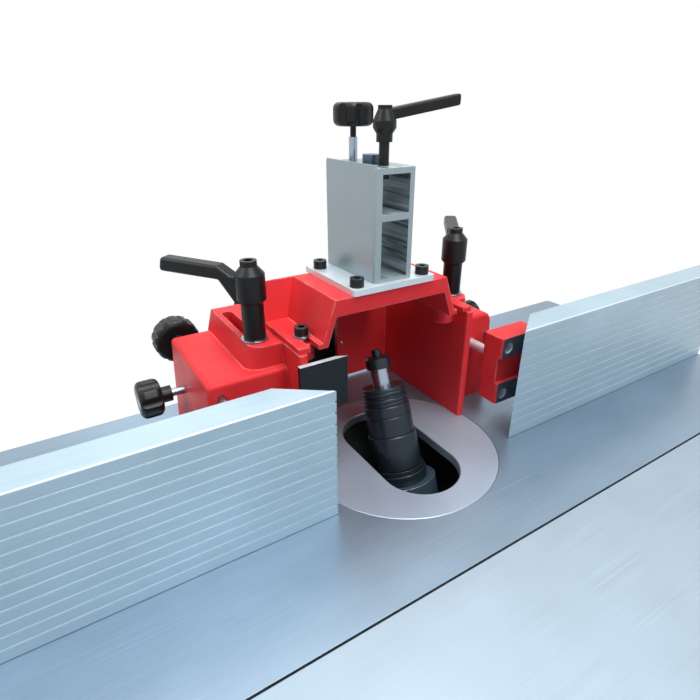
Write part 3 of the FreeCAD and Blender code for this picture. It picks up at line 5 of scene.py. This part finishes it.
import bmesh
import bpy
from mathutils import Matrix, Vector


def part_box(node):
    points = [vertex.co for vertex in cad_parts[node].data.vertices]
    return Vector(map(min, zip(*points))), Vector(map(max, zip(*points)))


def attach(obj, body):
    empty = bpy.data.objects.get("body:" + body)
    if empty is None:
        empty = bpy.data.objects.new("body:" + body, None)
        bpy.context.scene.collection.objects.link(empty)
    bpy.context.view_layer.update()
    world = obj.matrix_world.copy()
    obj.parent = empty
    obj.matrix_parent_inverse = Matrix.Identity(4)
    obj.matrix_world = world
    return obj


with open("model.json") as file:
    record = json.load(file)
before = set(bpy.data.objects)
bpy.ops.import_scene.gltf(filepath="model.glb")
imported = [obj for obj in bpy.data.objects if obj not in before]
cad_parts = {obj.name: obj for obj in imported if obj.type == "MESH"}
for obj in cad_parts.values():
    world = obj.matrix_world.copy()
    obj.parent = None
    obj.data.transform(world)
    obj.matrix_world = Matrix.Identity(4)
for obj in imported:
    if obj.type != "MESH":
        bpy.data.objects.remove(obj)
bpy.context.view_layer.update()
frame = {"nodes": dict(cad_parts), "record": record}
nodes = frame["nodes"]

# Camera, worked out from the fence, ring and table edges of the photograph; metres, degrees and millimetres
CAMERA_PLACE = (-0.2709, -0.3425, 1.1729)
CAMERA_TURN = (64.28, 0.13, -31.80)
CAMERA_LENS = 26.08
CAMERA_SENSOR = 36.0
CAMERA_NEAR = 0.01

# Lamps: name, place, aim, side in metres, power in watts
LAMPS = (("key", (0.1, -0.3, 2.9), (0, 0, 0.95), 1.0, 33),
         ("front", (0.1, -1.6, 2.6), (0, 0, 0.95), 1.2, 22),
         ("left_back", (-1.6, 0.5, 2.4), (0, 0, 0.95), 1.2, 16),
         ("back", (0.4, 1.6, 2.8), (0, 0.1, 0.9), 1.6, 12))
WORLD_LEVEL = 0.24
WHITE_LEVEL = 1.0
WHITE = (1, 1, 1, 1)

# Floor: side, and where its white starts and ends, in metres from the object's middle
FLOOR_SIDE = 14.0
FLOOR_FADE = (0.5, 1.5)
FLOOR_WHITE_SHARES = (0.25, 1.0)

# Surface colours as they look in plain light, in 0 to 255; the edge, groove and streak colours are painted
# highlights and reflections instead, the red edge partly worn paint too
RED = (222, 54, 59)
# Paler red for the edges: partly worn thin paint, partly painted highlight
RED_WORN_EDGE_AND_HIGHLIGHT = (250, 158, 152)
TABLE_GREY = (142, 162, 180)
RING_GREY = (174, 191, 209)
SLIDE_GREY = (160, 177, 190)
FENCE_GREY = (174, 196, 208)
# Painted highlight for the fence grooves and the carrier hole walls
GROOVE_HIGHLIGHT_PALE = (216, 232, 242)
TOWER_GREY = (154, 169, 175)
# Dark streaks of painted reflection inside the tower
REFLECTION_STREAK_DARK = (96, 103, 103)
PLATE_PALE = (212, 224, 230)
STEEL_GREY = (160, 174, 188)
BLUED_GREY = (84, 104, 122)
IRON_GREY = (92, 97, 102)
OXIDE_BLACK = (28, 32, 38)
# Painted highlight along the edges of the oxided parts
OXIDE_EDGE_HIGHLIGHT = (96, 108, 118)
COLLAR_DARK = (40, 50, 58)
LAND_DARK = (82, 92, 102)
PLASTIC_BLACK = (18, 21, 23)
CABINET_GREY = (188, 196, 200)
MOTOR_GREY = (84, 92, 98)
RUBBER_BLACK = (22, 22, 22)
FLOOR_PALE = (238, 240, 242)

# Noise scales of the marks on the surfaces, per metre: the higher, the finer
PAINT_CLOUDS = 9.0
# Scale of the patches in which the paint's edges turn paler: partly worn paint, partly painted highlight
PAINT_CHIPS_AND_HIGHLIGHT = 90.0
PAINT_GLOSS = 60.0
METAL_CLOUDS = 14.0
TOOL_LINES = 900.0
RING_LINES = 1400.0
LATHE_LINES = 1500.0
GRINDING_LINES = 700.0
WIPED_CLOUDS = 5.0
SCRATCHES = 260.0
TUBE_STREAKS = 260.0
CAST_GRAIN = 420.0
PLASTIC_CLOUDS = 30.0
PLASTIC_GLOSS = 250.0
PLASTIC_GRAIN = 1600.0
FLOOR_GRAIN = 40.0

# How far a mark is drawn out along its own direction, as a share of the noise's scale
LINE_SHARE = 0.01
GRINDING_SHARE = 0.012
SCRATCH_SHARE = 0.02
STREAK_SHARE = 0.05

# Usual low and high ends of a noise, between which a ramp runs
NOISE_LOW, NOISE_HIGH = 0.3, 0.7

# Reach of the rounding that is seen along edges, and heights of the marks, in metres
PAINT_EDGE = 0.0024
METAL_EDGE = 0.0005
CAST_EDGE = 0.0012
PLASTIC_EDGE = 0.0010
FINE_RELIEF = 0.0002
PAINT_RELIEF = 0.0004
CAST_RELIEF = 0.0006

# Rays that find an edge, and the likeness of rounded to flat normal: all edge at the first, none at the second
EDGE_SAMPLES = 4
EDGE_LIKENESS = (0.80, 0.99)

# Lean of the spindle, the point its axis passes through, and its flange's reach along and off the axis
SPINDLE_LEAN = math.radians(21.5)
SPINDLE_FOOT = Vector((0, -0.028, 0.760))
SPINDLE_AXIS = Vector((0, math.sin(SPINDLE_LEAN), math.cos(SPINDLE_LEAN)))
FLANGE_LOW, FLANGE_HIGH = 0.0605, 0.0755
ARBOR_REACH = 0.0105

# Places on the part, in metres, that part one finish from another
GROOVE_DEPTHS = (0.0003, 0.0012)
LAND_FRONT = -0.0185
HOLE_X = 0.127
HOLE_HEIGHTS = (0.886, 0.941)
HOLE_REACH = 0.0062
HOLE_FLOOR = (-0.0075, -0.0060)
LEVER_WASHER_TOP = 0.9798
LOCK_AXIS = (0, 0.126, 0.914)
LOCK_STUD_REACH = 0.0045
LEFT_ADJUST_AXIS = (-0.166, 0, 0.942)
RIGHT_ADJUST_AXIS = (0.156, 0, 0.929)
ADJUST_SCREW_REACH = 0.0055
TOP_STUD_TOP = 1.147
TOWER_INSIDE_HALF = 0.0147
TOWER_INSIDE_FRONT = 0.0195
HOOD_WASHER_TOP = 0.98465
HEX_BOLT_REACH = 0.012
CHIP_PLATE_EDGE = 0.9699
TABLE_SKIN = 0.8495

# Small screw on the fence's back wall: its place and radius, and its half profile as (reach, rise, six-sided)
BACK_SCREW_PLACE = (0.0268, 0.1592, 0.9029)
BACK_SCREW_RADIUS = 0.0026
SCREW_PROFILE = [(0.38, 0.25, True), (0.42, 0.66, True), (0.60, 0.62, False), (0.84, 0.46, False),
                 (1.0, 0.18, False), (1.0, 0.0, False)]
SCREW_STEPS = 24
SOCKET_SIDES = 6


def linear(colour):
    """Colour from 0 to 255 as linear light, with alpha."""
    shares = []
    for value in colour:
        share = value / 255
        shares.append(share / 12.92 if share <= 0.04045 else ((share + 0.055) / 1.055) ** 2.4)
    return (*shares, 1.0)


def shade(colour, share):
    """The same colour, lighter or darker by a share."""
    return tuple(min(255, value * share) for value in colour)


class Shader:
    """One procedural material, with short calls for the nodes that all surfaces share."""

    def __init__(self, name):
        self.material = bpy.data.materials.new(name)
        self.material.use_nodes = True
        self.tree = self.material.node_tree
        self.surface = self.tree.nodes["Principled BSDF"]
        self.place = self.node("ShaderNodeTexCoord").outputs["Object"]
        self.normal = None

    def node(self, kind, operation=None, **inputs):
        made = self.tree.nodes.new(kind)
        if operation:
            made.operation = operation
        for name, value in inputs.items():
            made.inputs[name.replace("_", " ")].default_value = value
        return made

    def link(self, source, target):
        self.tree.links.new(source, target)

    def give(self, source, name):
        """Link a value or a colour to one of the surface's own sockets."""
        self.link(source, self.surface.inputs[name])

    def set(self, **values):
        """Set the surface's own sockets to plain values."""
        for name, value in values.items():
            self.surface.inputs[name.replace("_", " ")].default_value = value

    def mapped(self, scale=(1, 1, 1), turn=(0, 0, 0)):
        """Object coordinates scaled, then turned."""
        mapping = self.node("ShaderNodeMapping", Scale=scale, Rotation=turn)
        self.link(self.place, mapping.inputs["Vector"])
        return mapping.outputs["Vector"]

    def noise(self, scale, detail=4.0, stretch=(1, 1, 1)):
        made = self.node("ShaderNodeTexNoise", Scale=scale, Detail=detail)
        self.link(self.mapped(stretch), made.inputs["Vector"])
        return made.outputs["Fac"]

    def line_noise(self, along, scale):
        """Noise that varies with one value alone."""
        made = self.node("ShaderNodeTexNoise", Scale=scale, Detail=3.0)
        made.noise_dimensions = "1D"
        self.link(along, made.inputs["W"])
        return made.outputs["Fac"]

    def rings(self, scale):
        """Turning lines round the vertical axis."""
        radius = self.node("ShaderNodeVectorMath", "LENGTH")
        self.link(self.mapped((1, 1, 0)), radius.inputs[0])
        return self.line_noise(radius.outputs["Value"], scale)

    def lathe_lines(self, scale):
        """Turning lines round the leaning spindle axis."""
        height = self.node("ShaderNodeSeparateXYZ")
        self.link(self.mapped(turn=(SPINDLE_LEAN, 0, 0)), height.inputs["Vector"])
        return self.line_noise(height.outputs["Z"], scale)

    def ramp(self, source, *stops):
        """Colour ramp over a 0 to 1 value; stops are (place, colour)."""
        made = self.node("ShaderNodeValToRGB")
        self.link(source, made.inputs["Fac"])
        elements = made.color_ramp.elements
        while len(elements) < len(stops):
            elements.new(0.5)
        for element, (place, colour) in zip(elements, stops):
            element.position = place
            element.color = linear(colour)
        return made.outputs["Color"]

    def range(self, source, low, high, start=0.0, end=1.0):
        """Value that runs from low to high while the source runs from start to end."""
        made = self.node("ShaderNodeMapRange", From_Min=start, From_Max=end, To_Min=low, To_Max=high)
        self.link(source, made.inputs["Value"])
        return made.outputs["Result"]

    def mix(self, share, first, second):
        """A colour from a socket, mixed by a 0 to 1 value with a second one, in 0 to 255."""
        made = self.node("ShaderNodeMix")
        made.data_type = "RGBA"
        factor, colour_a, colour_b = made.inputs[0], made.inputs[6], made.inputs[7]
        self.link(share, factor)
        self.link(first, colour_a)
        colour_b.default_value = linear(second)
        return made.outputs[2]

    def multiply(self, first, second):
        made = self.node("ShaderNodeMath", "MULTIPLY")
        self.link(first, made.inputs[0])
        self.link(second, made.inputs[1])
        return made.outputs[0]

    def add(self, first, second, share):
        """First value plus a share of the second."""
        made = self.node("ShaderNodeMath", "MULTIPLY_ADD")
        self.link(second, made.inputs[0])
        made.inputs[1].default_value = share
        self.link(first, made.inputs[2])
        return made.outputs[0]

    def edges(self, radius):
        """Rounds the look of sharp edges, and gives a value that is 1 along them."""
        bevel = self.node("ShaderNodeBevel", Radius=radius)
        bevel.samples = EDGE_SAMPLES
        self.normal = bevel.outputs["Normal"]
        flat = self.node("ShaderNodeNewGeometry")
        likeness = self.node("ShaderNodeVectorMath", "DOT_PRODUCT")
        self.link(self.normal, likeness.inputs[0])
        self.link(flat.outputs["Normal"], likeness.inputs[1])
        return self.range(likeness.outputs["Value"], 1.0, 0.0, *EDGE_LIKENESS)

    def bump(self, source, strength, distance):
        made = self.node("ShaderNodeBump", Strength=strength, Distance=distance)
        self.link(source, made.inputs["Height"])
        if self.normal:
            self.link(self.normal, made.inputs["Normal"])
        self.give(made.outputs["Normal"], "Normal")


def painted(name, colour, edge_highlight, roughness, grain, cloud):
    """Sprayed paint: slight orange peel, faint cloud in the colour, and paler edges, partly worn thin paint
    and partly painted highlight.
    """
    s = Shader(name)
    rim = s.edges(PAINT_EDGE)
    body = s.ramp(s.noise(PAINT_CLOUDS, detail=3.0), (NOISE_LOW, shade(colour, 1 - cloud)),
                  (NOISE_HIGH, shade(colour, 1 + cloud)))
    # Paler, patchy edges: partly worn paint, partly painted highlight
    chips_and_highlight = s.range(s.noise(PAINT_CHIPS_AND_HIGHLIGHT), 0.25, 1.0, start=0.35, end=0.65)
    s.give(s.mix(s.multiply(rim, chips_and_highlight), body, edge_highlight), "Base Color")
    s.give(s.range(s.noise(PAINT_GLOSS, detail=3.0), roughness * 0.8, roughness * 1.25), "Roughness")
    s.bump(s.noise(grain, detail=2.0), strength=0.06, distance=PAINT_RELIEF)
    s.set(Specular_IOR_Level=0.12)
    return s.material


def tool_marks(s, lines):
    """Marks of the tool: straight along an axis, even, or turned round the ring's or the spindle's axis."""
    if lines == "rings":
        return s.rings(RING_LINES)
    if lines == "lathe":
        return s.lathe_lines(LATHE_LINES)
    stretch = {"x": (LINE_SHARE, 1, 1), "z": (1, 1, LINE_SHARE), "even": (1, 1, 1)}[lines]
    return s.noise(TOOL_LINES, detail=3.0, stretch=stretch)


def metal(name, colour, roughness, lines, depth, metallic, blotch, edge_highlight=None):
    """Machined metal: fine tool lines, soft blotches, uneven gloss and brighter edges, which are a painted
    highlight.
    """
    s = Shader(name)
    rim = s.edges(METAL_EDGE)
    marks = tool_marks(s, lines)
    level = s.add(s.range(s.noise(METAL_CLOUDS, detail=5.0), -0.1, 0.5), marks, share=0.6)
    body = s.ramp(level, (0.2, shade(colour, 1 - 2 * blotch)), (0.8, shade(colour, 1 + blotch)))
    # Painted highlight: paler colour along the edges
    s.give(s.mix(s.range(rim, 0.0, 0.6), body, edge_highlight or shade(colour, 1.25)), "Base Color")
    s.give(s.range(marks, roughness * 0.75, roughness * 1.3), "Roughness")
    s.bump(marks, strength=depth, distance=FINE_RELIEF)
    s.set(Metallic=metallic)
    return s.material


def ground_iron(name, colour):
    """Ground table top: grinding lines, wide pale clouds where it was wiped, thin scratches, and a painted
    highlight along its edges.
    """
    s = Shader(name)
    rim = s.edges(METAL_EDGE)
    lines = s.noise(GRINDING_LINES, detail=3.0, stretch=(GRINDING_SHARE, 1, 1))
    clouds = s.range(s.noise(WIPED_CLOUDS, detail=6.0, stretch=(0.7, 1.3, 1)), 0.0, 1.0, start=0.35, end=0.68)
    level = s.add(s.range(lines, 0.15, 0.5), clouds, share=0.45)
    body = s.ramp(level, (0.15, shade(colour, 0.88)), (0.55, colour), (0.95, shade(colour, 1.13)))
    scratch = s.noise(SCRATCHES, detail=2.0, stretch=(SCRATCH_SHARE, 1, 1))
    scratch = s.range(scratch, 0.0, 0.5, start=0.70, end=0.76)
    # Scratches, and a painted highlight along the edges
    scratches_and_edge_highlight = s.add(s.range(rim, 0.0, 0.7), scratch, share=0.5)
    s.give(s.mix(scratches_and_edge_highlight, body, shade(colour, 1.35)), "Base Color")
    s.give(s.range(clouds, 0.30, 0.42), "Roughness")
    s.bump(lines, strength=0.08, distance=FINE_RELIEF)
    s.set(Metallic=0.68)
    return s.material


def streaked(name, colour, dark, pale):
    """Bright drawn wall inside a tube, with long uneven streaks of painted reflection in its colour."""
    s = Shader(name)
    streaks = s.noise(TUBE_STREAKS, detail=3.0, stretch=(1, STREAK_SHARE, 1))
    # Painted reflection: streaks from dark to pale
    body = s.ramp(streaks, (0.34, dark), (0.46, colour), (0.58, shade(colour, 1.08)), (0.70, pale))
    s.give(body, "Base Color")
    s.give(s.range(streaks, 0.2, 0.4), "Roughness")
    s.bump(streaks, strength=0.15, distance=PAINT_RELIEF)
    s.set(Metallic=0.35)
    return s.material


def cast(name, colour):
    """Bare casting: grainy skin with darker pits, and a painted highlight along its edges."""
    s = Shader(name)
    rim = s.edges(CAST_EDGE)
    grain = s.noise(CAST_GRAIN, detail=6.0)
    body = s.ramp(grain, (0.35, shade(colour, 0.7)), (0.65, shade(colour, 1.1)))
    # Painted highlight: paler colour along the edges
    s.give(s.mix(s.range(rim, 0.0, 0.4), body, shade(colour, 1.5)), "Base Color")
    s.bump(grain, strength=0.25, distance=CAST_RELIEF)
    s.set(Metallic=0.5, Roughness=0.6)
    return s.material


def moulded(name, colour, roughness):
    """Moulded plastic or rubber with a fine grain, and a painted highlight that makes it paler along its
    edges.
    """
    s = Shader(name)
    rim = s.edges(PLASTIC_EDGE)
    body = s.ramp(s.noise(PLASTIC_CLOUDS, detail=3.0), (NOISE_LOW, shade(colour, 0.85)),
                  (NOISE_HIGH, shade(colour, 1.2)))
    # Painted highlight: much paler colour along the edges
    s.give(s.mix(s.range(rim, 0.0, 0.45), body, shade(colour, 2.4)), "Base Color")
    s.give(s.range(s.noise(PLASTIC_GLOSS, detail=2.0), roughness * 0.85, roughness * 1.15), "Roughness")
    s.bump(s.noise(PLASTIC_GRAIN, detail=2.0), strength=0.10, distance=FINE_RELIEF)
    s.set(Specular_IOR_Level=0.25)
    return s.material


# Paints: colour, edge colour (partly worn paint, partly painted highlight), roughness, grain per metre, cloud
PAINTS = {"red_paint": (RED, RED_WORN_EDGE_AND_HIGHLIGHT, 0.36, 700.0, 0.05),
          "cabinet_paint": (CABINET_GREY, shade(CABINET_GREY, 1.2), 0.42, 900.0, 0.01),
          "motor_paint": (MOTOR_GREY, shade(MOTOR_GREY, 1.5), 0.45, 900.0, 0.05)}
# Machined metals: colour, roughness, tool lines, depth of the lines, metallic, blotch, any colour of its own
# for the painted edge highlight
METALS = {"ring_steel": (RING_GREY, 0.38, "rings", 0.07, 0.6, 0.04),
          "slide_alloy": (SLIDE_GREY, 0.5, "x", 0.05, 0.6, 0.03),
          "fence_alloy": (FENCE_GREY, 0.46, "x", 0.10, 0.55, 0.04, FENCE_GREY),
          # Painted highlight, for the groove faces and the hole walls
          "groove_alloy": (GROOVE_HIGHLIGHT_PALE, 0.38, "x", 0.06, 0.35, 0.03),
          "tower_alloy": (TOWER_GREY, 0.38, "z", 0.06, 0.7, 0.025),
          "plate_alloy": (PLATE_PALE, 0.46, "x", 0.06, 0.5, 0.03),
          "bright_steel": (STEEL_GREY, 0.25, "even", 0.05, 1.0, 0.05),
          "turned_steel": (STEEL_GREY, 0.24, "lathe", 0.10, 0.95, 0.06),
          # The quill's pale edge colour is a painted highlight round its rim
          "quill_steel": (BLUED_GREY, 0.32, "lathe", 0.10, 0.6, 0.06, PLATE_PALE),
          "blued_steel": (BLUED_GREY, 0.34, "even", 0.06, 0.8, 0.06),
          "black_oxide": (OXIDE_BLACK, 0.34, "even", 0.08, 0.5, 0.10, OXIDE_EDGE_HIGHLIGHT),
          "turned_oxide": (COLLAR_DARK, 0.30, "lathe", 0.12, 0.5, 0.10, OXIDE_EDGE_HIGHLIGHT),
          "land_oxide": (LAND_DARK, 0.34, "even", 0.08, 0.3, 0.10)}
# Plastics and rubber: colour, roughness
PLASTICS = {"black_plastic": (PLASTIC_BLACK, 0.34),
            "dust_plastic": (shade(PLASTIC_BLACK, 1.1), 0.55),
            "belt_rubber": (RUBBER_BLACK, 0.7)}
LOOKS = {"ground_iron": ground_iron("ground_iron", TABLE_GREY),
         "tower_inside": streaked("tower_inside", TOWER_GREY, REFLECTION_STREAK_DARK, PLATE_PALE),
         "cast_iron": cast("cast_iron", IRON_GREY)}
for make, table in ((painted, PAINTS), (metal, METALS), (moulded, PLASTICS)):
    LOOKS.update({name: make(name, *values) for name, values in table.items()})

# A node takes the look of its record's slot, but for these slots and nodes
SLOT_LOOKS = {"anodised": "fence_alloy"}
NODE_LOOKS = {"sliding_plate": "slide_alloy", "slide_beam": "slide_alloy", "tower_column": "tower_alloy",
              "tower_base": "plate_alloy", "left_guide_rods": "plate_alloy",
              "right_guide_rods": "plate_alloy", "base_plate": "motor_paint", "spindle_shaft": "turned_steel",
              "quill_tube": "quill_steel", "spindle_collars": "turned_oxide", "spindle_nut": "turned_oxide",
              "spindle_screw": "turned_oxide"}


def dress_nodes():
    for part in frame["record"]["subparts"]:
        slot = part["material_slot"]
        look = NODE_LOOKS.get(part["node"], SLOT_LOOKS.get(slot, slot))
        mesh = nodes[part["node"]].data
        mesh.materials.clear()
        mesh.materials.append(LOOKS[look])


def second_look(node, look, chosen):
    """Give some faces of a node another look; chosen tests a face's middle."""
    mesh = nodes[node].data
    mesh.materials.append(LOOKS[look])
    for face in mesh.polygons:
        if chosen(face.center):
            face.material_index = len(mesh.materials) - 1


def near_line(place, along, reach):
    """Test of a face's middle: true within a reach of the line through a place."""
    def test(middle):
        offset = middle - Vector(place)
        return (offset - Vector(along) * offset.dot(Vector(along))).length < reach
    return test


def on_flange(middle):
    """Test of a face's middle: true on the spindle's flange, under its collars."""
    offset = middle - SPINDLE_FOOT
    height = offset.dot(SPINDLE_AXIS)
    reach = (offset - SPINDLE_AXIS * height).length
    return FLANGE_LOW < height < FLANGE_HIGH and reach > ARBOR_REACH


def dress_side(side, sign, adjust_axis):
    """Second looks of one side of the fence; sign is -1 on the left and 1 on the right."""
    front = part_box(side + "_fence")[0][1]
    carrier = side + "_carrier"
    floor_front, floor_back = HOLE_FLOOR
    shallow, deep = GROOVE_DEPTHS
    # Pale groove faces in the fence plate: painted highlight
    second_look(side + "_fence", "groove_alloy", lambda c: shallow < c.y - front < deep)
    second_look(carrier, "land_oxide", lambda c: c.y < LAND_FRONT)
    second_look(side + "_clamp_lever", "bright_steel", lambda c: c.z < LEVER_WASHER_TOP)
    for height in HOLE_HEIGHTS:
        in_hole = near_line((sign * HOLE_X, 0, height), (0, 1, 0), HOLE_REACH)
        # Carrier holes: pale walls as painted highlight, black floors
        second_look(carrier, "groove_alloy", lambda c: LAND_FRONT < c.y < floor_front and in_hole(c))
        second_look(carrier, "black_oxide", lambda c: floor_front < c.y < floor_back and in_hole(c))
    second_look(side + "_lock_knob", "bright_steel", near_line(LOCK_AXIS, (1, 0, 0), LOCK_STUD_REACH))
    second_look(side + "_adjust_knob", "bright_steel", near_line(adjust_axis, (0, 1, 0), ADJUST_SCREW_REACH))


def button_screw(name, place, radius, body):
    """Domed screw head with a six-sided socket, facing the front; made ring by ring from its half profile."""
    shell = bmesh.new()
    rings = []
    side_angle = 2 * math.pi / SOCKET_SIDES
    for reach, rise, sided in SCREW_PROFILE:
        ring = []
        for step in range(SCREW_STEPS):
            angle = 2 * math.pi * step / SCREW_STEPS
            corner = (angle + side_angle / 2) % side_angle - side_angle / 2
            out = radius * reach / (math.cos(corner) if sided else 1)
            ring.append(shell.verts.new((out * math.cos(angle), -radius * rise, out * math.sin(angle))))
        rings.append(ring)
    for inner, outer in zip(rings, rings[1:]):
        for step in range(SCREW_STEPS):
            after = (step + 1) % SCREW_STEPS
            shell.faces.new((inner[step], outer[step], outer[after], inner[after]))
    shell.faces.new(rings[0])
    shell.faces.new(rings[-1])
    bmesh.ops.recalc_face_normals(shell, faces=shell.faces)
    mesh = bpy.data.meshes.new(name)
    shell.to_mesh(mesh)
    shell.free()
    mesh.materials.append(LOOKS["bright_steel"])
    screw = bpy.data.objects.new(name, mesh)
    bpy.context.scene.collection.objects.link(screw)
    screw.location = place
    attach(screw, body)


dress_nodes()
dress_side("left", -1, LEFT_ADJUST_AXIS)
dress_side("right", 1, RIGHT_ADJUST_AXIS)
second_look("top_knob", "bright_steel", lambda c: c.z < TOP_STUD_TOP)
second_look("spindle_shaft", "turned_oxide", on_flange)
# Inner walls of the tower, seen through its windows: painted reflection streaks
second_look("tower_column", "tower_inside",
            lambda c: abs(c.x) < TOWER_INSIDE_HALF and c.y > TOWER_INSIDE_FRONT)
second_look("hood_bolts", "bright_steel", lambda c: c.z < HOOD_WASHER_TOP)
second_look("tower_screws", "blued_steel", lambda c: abs(c.x) < HEX_BOLT_REACH)
second_look("chip_plate", "plate_alloy", lambda c: c.z > CHIP_PLATE_EDGE)
second_look("table", "cast_iron", lambda c: c.z < TABLE_SKIN)
button_screw("back_wall_screw", BACK_SCREW_PLACE, BACK_SCREW_RADIUS, "fence")


def add_lamp(name, place, aim, size, power):
    lamp = bpy.data.lights.new(name, "AREA")
    lamp.size = size
    lamp.energy = power
    holder = bpy.data.objects.new(name, lamp)
    bpy.context.scene.collection.objects.link(holder)
    holder.location = place
    holder.rotation_euler = (Vector(aim) - Vector(place)).to_track_quat("-Z", "Y").to_euler()


def seen_rays(tree):
    """1 for rays that show the background: straight to the camera, mirrored or through glass."""
    paths = tree.nodes.new("ShaderNodeLightPath")
    seen = paths.outputs["Is Camera Ray"]
    for name in ("Is Glossy Ray", "Is Transmission Ray"):
        more = tree.nodes.new("ShaderNodeMath")
        more.operation = "MAXIMUM"
        tree.links.new(seen, more.inputs[0])
        tree.links.new(paths.outputs[name], more.inputs[1])
        seen = more.outputs[0]
    return seen


def make_world():
    world = bpy.data.worlds.new("studio")
    bpy.context.scene.world = world
    world.use_nodes = True
    tree = world.node_tree
    level = tree.nodes.new("ShaderNodeMapRange")
    level.inputs["To Min"].default_value = WORLD_LEVEL
    level.inputs["To Max"].default_value = WHITE_LEVEL
    tree.links.new(seen_rays(tree), level.inputs["Value"])
    background = tree.nodes["Background"]
    background.inputs["Color"].default_value = WHITE
    tree.links.new(level.outputs["Result"], background.inputs["Strength"])


def make_floor():
    """Pale floor that keeps the shadow near the object and runs out into white."""
    bpy.ops.mesh.primitive_plane_add(size=FLOOR_SIDE, location=(0, 0, 0))
    floor = bpy.context.object
    floor.name = "floor"
    s = Shader("floor")
    body = s.ramp(s.noise(FLOOR_GRAIN, detail=5.0), (NOISE_LOW, shade(FLOOR_PALE, 0.985)),
                  (NOISE_HIGH, FLOOR_PALE))
    s.give(body, "Base Color")
    s.set(Roughness=0.8)
    reach = s.node("ShaderNodeVectorMath", "LENGTH")
    s.link(s.place, reach.inputs[0])
    share = s.multiply(s.range(reach.outputs["Value"], *FLOOR_WHITE_SHARES, *FLOOR_FADE), seen_rays(s.tree))
    white = s.node("ShaderNodeEmission", Color=WHITE, Strength=WHITE_LEVEL)
    blend = s.node("ShaderNodeMixShader")
    s.link(share, blend.inputs[0])
    s.link(s.surface.outputs["BSDF"], blend.inputs[1])
    s.link(white.outputs["Emission"], blend.inputs[2])
    s.link(blend.outputs["Shader"], s.tree.nodes["Material Output"].inputs["Surface"])
    floor.data.materials.append(s.material)


def make_camera():
    camera = bpy.data.cameras.new("camera")
    camera.lens = CAMERA_LENS
    camera.sensor_width = CAMERA_SENSOR
    camera.clip_start = CAMERA_NEAR
    holder = bpy.data.objects.new("camera", camera)
    bpy.context.scene.collection.objects.link(holder)
    holder.location = CAMERA_PLACE
    holder.rotation_euler = [math.radians(angle) for angle in CAMERA_TURN]
    bpy.context.scene.camera = holder


make_world()
make_floor()
make_camera()
for lamp_values in LAMPS:
    add_lamp(*lamp_values)
bpy.context.scene.view_settings.view_transform = "Standard"
